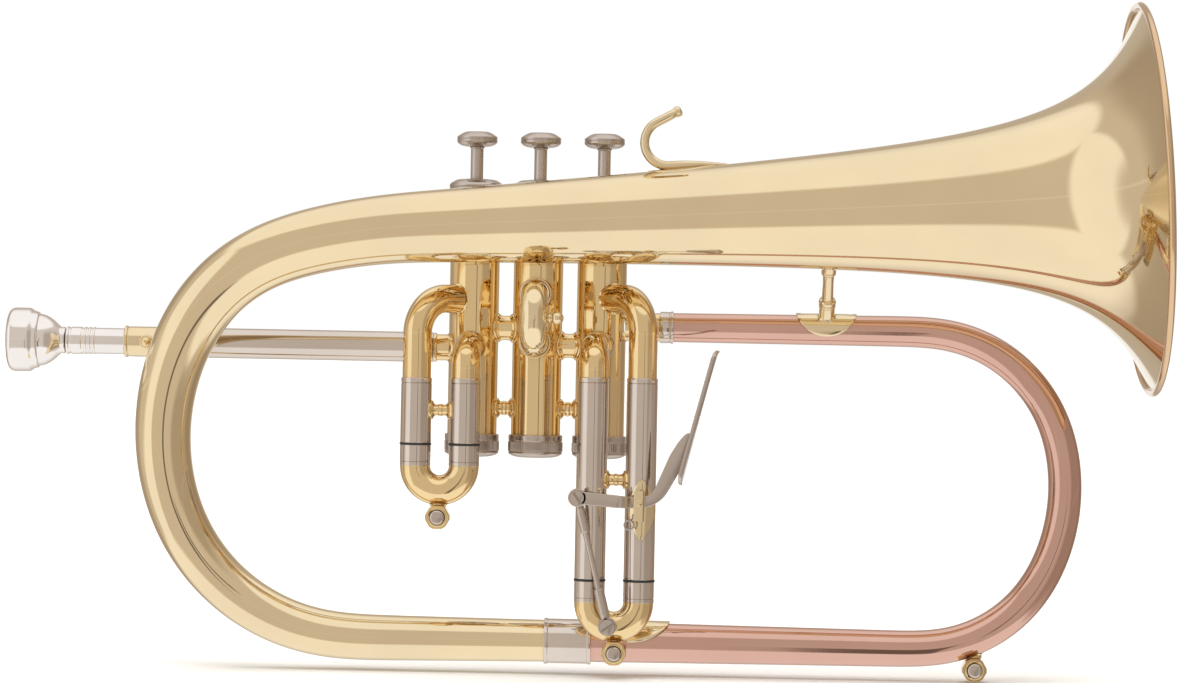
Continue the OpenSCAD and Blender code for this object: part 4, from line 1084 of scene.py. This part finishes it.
def make_water_key(number, centre, body, wall_point, wall_axis, wall_r):
    """A hexagonal body with a round hollow in front, its neck up to the wall, and its button."""
    shape, corners = Shape(), hex_loop(9.1, 0.45)
    loops = []
    for y, r in ((-4.2, 2.86), (-5.8, 2.86), (-6.2, 3.05), (-6.25, 3.5), (-6.0, 3.75)):
        loops.append(np.array([centre + vec(r * cos(a), y, r * sin(a)) for a, _ in corners]))
    for y, s in ((-6.0, 0.93), (-5.7, 0.98), (-5.2, 1), (5.2, 1), (5.7, 0.98), (6.0, 0.93)):
        loops.append(np.array([centre + vec(s * r * cos(a), y, s * r * sin(a)) for a, r in corners]))
    shape.loft(loops)
    neck = [(0, 2.9), (0.9, 2.9), (1.2, 3.2), (1.8, 3.2), (2.1, 2.9), (5.0, 2.9)]
    shape.turned(centre + 3.6 * Z, Z, neck, 40)
    shape.weld(centre, Z, wall_point, wall_axis, wall_r, 2.9, 0.7)
    add(f"water_key_{number}_body", shape, "pale_brass", f"water_key_{number}", body=body, looks=[BRASS])
    p = [(1.0, 2.8), (7.3, 2.8), (7.8, 2.7), (8.05, 2.4), (8.2, 1.8), (8.2, 0.02)]
    cap = Shape().turned(centre, -Y, p, 48)
    button = f"key_button_{number}"
    add(f"{button}_pin", cap, "brushed_nickel", button, body=f"{button}_body")


def make_water_keys():
    crook_1 = vec(*SLIDE_1, SLIDE_1_LOW - HALF_GAP)
    crook_3 = vec(*SLIDE_3, SLIDE_3_LOW - HALF_GAP)
    make_water_key(1, vec(SLIDE_1[0] - 0.2, SLIDE_1[1], -78.125), "slide_1", crook_1, X, 5.9)
    make_water_key(2, vec(SLIDE_3[0] + 0.4, SLIDE_3[1], -129.025), "slide_3", crook_3, X, 5.9)
    lean = radians(23.4)
    bow_axis = vec(cos(lean), 0, sin(lean))
    make_water_key(3, vec(173.4, -10.9, -134), "horn", vec(173.4, -10.9, -121.7), bow_axis, 7.0)


# ---- mouthpiece and mouthpipe ----


def make_mouthpiece():
    p = [
        (0.05, 9.2), (0.0, 9.8), (0.15, 10.8), (0.6, 11.7), (1.3, 12.3), (2.2, 12.6), (3.2, 12.65),
        (8.0, 12.6), (8.7, 12.45), (9.3, 12.1), (9.9, 11.6), (10.6, 11.3), (11.4, 11.15), (12.0, 10.8),
        (12.3, 10.3), (12.9, 10.25), (13.8, 10.05), (15.0, 9.6), (16.2, 8.95), (17.4, 8.1), (18.5, 7.2),
        (19.4, 6.3), (20.2, 5.6), (20.7, 5.2), (21.0, 5.15), (21.3, 5.3), (22.0, 5.3), (22.3, 5.1),
        (22.5, 4.5), (22.7, 4.14), (40.0, 3.74), (40.0, 2.9), (24, 1.9), (20, 1.9), (18.6, 2.3),
        (16.5, 3.5), (13, 5.0), (10, 6.0), (7, 6.9), (4.5, 7.5), (2.5, 7.9), (1.3, 8.2), (0.5, 8.6),
    ]
    shape = Shape().ring(vec(-209, 0, PIPE_Z), X, p, 120)
    add("mouthpiece_silver", shape, "silver_plate", "mouthpiece", body="mouthpiece_body", sharp=30)


def make_mouthpipe():
    x = -186.2
    p = [
        (0, 4.25), (0, 5.2), (0.25, 5.5), (0.9, 5.5), (1.2, 5.15), (1.8, 5.15), (2.1, 5.42), (5.9, 5.42),
        (6.2, 5.15),
    ]
    for k in (7.6, 9.3, 11.0):
        p += [(k - 0.5, 5.15), (k - 0.3, 5.42), (k + 0.3, 5.42), (k + 0.5, 5.15)]
    p += [(12.2, 5.15), (124.2, 5.15), (124.2, 4.5), (16.3, 4.5), (16.3, 3.82)]
    shape = Shape().ring(vec(x, 0, PIPE_Z), X, p, 88, soft=0.12)
    add("mouthpipe_tube", shape, "silver_plate", "mouthpipe", body="mouthpipe_body", sharp=30)
    x0, x1, split = -163.1, -41.0, -138.0
    p = [
        (0, 5.2), (0, 5.9), (0.35, 6.3), (1.1, 6.3), (1.45, 5.85), (1.65, 5.85), (1.9, 6.0),
        (split - x0, 6.0), (split - x0, 5.2),
    ]
    sleeve = Shape().ring(vec(x0, 0, PIPE_Z), X, p, 88, soft=0.12)
    end = x1 - split
    q = [
        (0, 5.2), (0, 5.95), (end - 2.0, 5.95), (end - 1.9, 5.82), (end - 1.7, 5.82), (end - 1.6, 5.95),
        (end, 5.9), (end, 5.2),
    ]
    sleeve.tag = 1
    sleeve.ring(vec(split, 0, PIPE_Z), X, q, 88)
    sleeve.tag = 0
    lock = vec(-153.6, 0, PIPE_Z)
    boss = [(5.4, 1.25), (5.4, 2.9), (6.6, 2.7), (7.6, 2.7), (8.0, 2.45), (8.0, 1.25)]
    sleeve.ring(lock, -Y, boss, 48, soft=0.2)
    sleeve.weld(lock - 20 * Y, Y, lock, X, 6.0, 2.7, 0.7)
    looks = [PALE, NICKEL]
    add("mouthpipe_sleeve_tube", sleeve, "nickel_silver", "mouthpipe_sleeve", looks=looks, sharp=30)
    s = [
        (5.35, 0.02), (5.35, 1.2), (8.2, 1.2), (8.25, 2.1), (8.5, 2.25), (8.8, 2.1), (8.95, 1.3),
        (9.3, 1.0), (9.6, 1.4), (10.1, 1.78), (10.7, 1.9), (11.3, 1.85), (11.9, 1.55), (12.4, 1.0),
        (12.65, 0.4), (12.7, 0.02),
    ]
    screw = Shape().turned(lock, -Y, s, 40)
    add("lock_screw_ball", screw, "lacquered_brass", "lock_screw", body="lock_screw_body", sharp=50)


def dress_frame():
    """Gives the frame's own visible parts their finish."""
    for part, material in (("casing", BRASS), ("piston", NICKEL), ("spring", STEEL)):
        for i in (1, 2, 3):
            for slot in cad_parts[f"{part}_{i}"].material_slots:
                slot.material = material


# ---- studio ----


def make_world():
    """What the horn mirrors: a pale studio, greyer in front at eye level. Its backdrop shows white."""
    world = bpy.data.worlds.new("studio")
    scene.world = world
    world.use_nodes = True
    tree = world.node_tree
    place = made(tree, "TexCoord", {}, "Generated")
    x, y, z = (made(tree, "SeparateXYZ", {"Vector": place}, axis) for axis in "XYZ")

    def band(source, low, high):
        ends = {"Value": source, "From Min": low, "From Max": high}
        return made(tree, "MapRange", ends, "Result", interpolation_type="SMOOTHSTEP")

    def maths(operation, a, b):
        return made(tree, "Math", {0: a, 1: b}, "Value", operation=operation)

    def inside(source, middle, half, soft):
        off = maths("ABSOLUTE", maths("SUBTRACT", source, middle), 0.0)
        return maths("SUBTRACT", 1.0, band(off, half, half + soft))

    def both(*parts):
        out = parts[0]
        for part in parts[1:]:
            out = maths("MULTIPLY", out, part)
        return out

    behind = band(y, 0.4, 0.9)
    near = maths("SUBTRACT", 1.0, behind)
    top = both(band(z, 0.66, 0.74), inside(x, -0.1, 0.80, 0.1))
    low = both(band(maths("SUBTRACT", 0.0, z), 0.46, 0.56), inside(x, -0.1, 0.80, 0.1))
    left = both(inside(x, -0.815, 0.125, 0.06), band(z, -0.75, -0.6), near, inside(y, -0.4, 0.35, 0.1))
    slit = both(inside(x, 0.235, 0.012, 0.02), inside(z, 0.0, 0.12, 0.05), near)
    tripod = both(inside(x, 0.105, 0.04, 0.025), inside(z, -0.31, 0.19, 0.07), near)
    sides = both(inside(z, 0.0, 0.35, 0.3), band(x, 0.50, 0.72))
    back_sides = both(
        inside(z, 0.0, 0.45, 0.3), band(maths("ABSOLUTE", x, 0.0), 0.35, 0.55), band(y, 0.2, 0.5),
    )
    line = both(inside(z, 0.05, 0.004, 0.012), near)
    panels = maths("MAXIMUM", maths("MAXIMUM", top, left), low)
    seen = made(tree, "LightPath", {}, "Is Camera Ray")
    tone = (0.68, 0.62, 0.55)
    for part, share, colour in (
        (line, 0.35, (0.95, 0.92, 0.88)),
        (sides, 0.45, (0.22, 0.15, 0.09)),
        (slit, 1.0, (0.09, 0.06, 0.04)),
        (panels, 1.0, (1.04, 1.02, 0.99)),
        (tripod, 0.8, (0.07, 0.05, 0.04)),
        (behind, 0.6, (0.46, 0.39, 0.32)),
        (back_sides, 0.4, (0.22, 0.14, 0.08)),
        (band(y, 0.955, 0.97), 1.0, (1.0, 1.0, 1.0)),
        (seen, 1.0, (1.0, 1.0, 1.0)),
    ):
        tone = mixed(tree, maths("MULTIPLY", part, share), tone, colour)
    fill(tree, tree.nodes["Background"].inputs, {"Color": tone, "Strength": 1.0})


def soft_light(name, at, width, height, power):
    """A wide lamp aimed at the middle of the frame."""
    lamp = bpy.data.lights.new(name, "AREA")
    lamp.shape = "RECTANGLE"
    lamp.size, lamp.size_y = width, height
    lamp.energy = power
    lamp.color = (1.0, 0.985, 0.96)
    holder = placed(name, lamp)
    holder.location = at
    toward = Vector() - Vector(at)
    holder.rotation_mode = "QUATERNION"
    holder.rotation_quaternion = toward.to_track_quat("-Z", "Y")
    holder.visible_camera = False
    holder.visible_glossy = False


def floor_light():
    """Even light from above that only whitens the floor."""
    lamp = bpy.data.lights.new("floor_light", "SUN")
    lamp.energy = 1.6
    lamp.angle = radians(60)
    placed("floor_light", lamp).visible_glossy = False


def make_floor():
    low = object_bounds()[0][2] - 0.0005
    mesh = bpy.data.meshes.new("floor")
    bm = bmesh.new()
    bmesh.ops.create_grid(bm, x_segments=2, y_segments=2, size=40)
    bm.to_mesh(mesh)
    bm.free()
    floor = placed("floor", mesh)
    floor.location = (0, 0, low)
    material, tree, shader = nodes_of("pale floor")
    tone = mixed(tree, noise(tree, 3, 2), (0.93, 0.93, 0.92), (0.90, 0.90, 0.89))
    fill(tree, shader.inputs, {"Base Color": tone, "Roughness": 0.9, "Specular IOR Level": 0.1})
    mesh.materials.append(material)
    floor.visible_glossy = False


def make_camera():
    """Level with the horn, 1.4 m in front of the bell's axis, rolled a little."""
    data = bpy.data.cameras.new("camera")
    data.sensor_width = 36
    data.lens = 110.3
    camera = placed("camera", data)
    roll = radians(1.1)
    forward = Vector((-0.02, 1, 0)).normalized()
    right = Vector((cos(roll), 0, sin(roll)))
    right = (right - forward * right.dot(forward)).normalized()
    up = right.cross(forward)
    turned = Matrix((right, up, -forward)).transposed().to_4x4()
    camera.matrix_world = Matrix.Translation((0.0496, -1.4285, -0.0087)) @ turned
    scene.camera = camera


make_bell()
make_red_bow()
make_ferrules()
make_bell_brace()
make_crescents()
make_slide_stay()
make_finger_hook()
make_bell_stays()
make_spools()
make_knuckles()
make_stubs()
make_caps()
make_valve_tops()
make_ports(1, VALVE_X[0], SLIDE_1, SLIDE_1_TOP, [(-1, 7, 14), (1, -11.5, 8.5)])
make_ports(3, VALVE_X[2], SLIDE_3, SLIDE_3_TOP, [(1, 8.2, 14), (-1, -10.6, 9)])
make_slide(1, SLIDE_1, SLIDE_1_TOP, -49.3, SLIDE_1_LOW, -25.5)
make_slide(3, SLIDE_3, SLIDE_3_TOP, -100.5, SLIDE_3_LOW, -44.0)
make_slide_2()
make_stud()
make_trigger_foot()
make_lever()
make_rod()
make_trigger_spring()
make_water_keys()
make_mouthpiece()
make_mouthpipe()
dress_frame()
make_world()
soft_light("overhead", (0.0, -0.35, 1.25), 1.5, 0.9, 5)
soft_light("left_front", (-1.5, -1.3, 0.9), 0.8, 1.0, 4)
floor_light()
make_floor()
make_camera()
scene.view_settings.view_transform = "Standard"
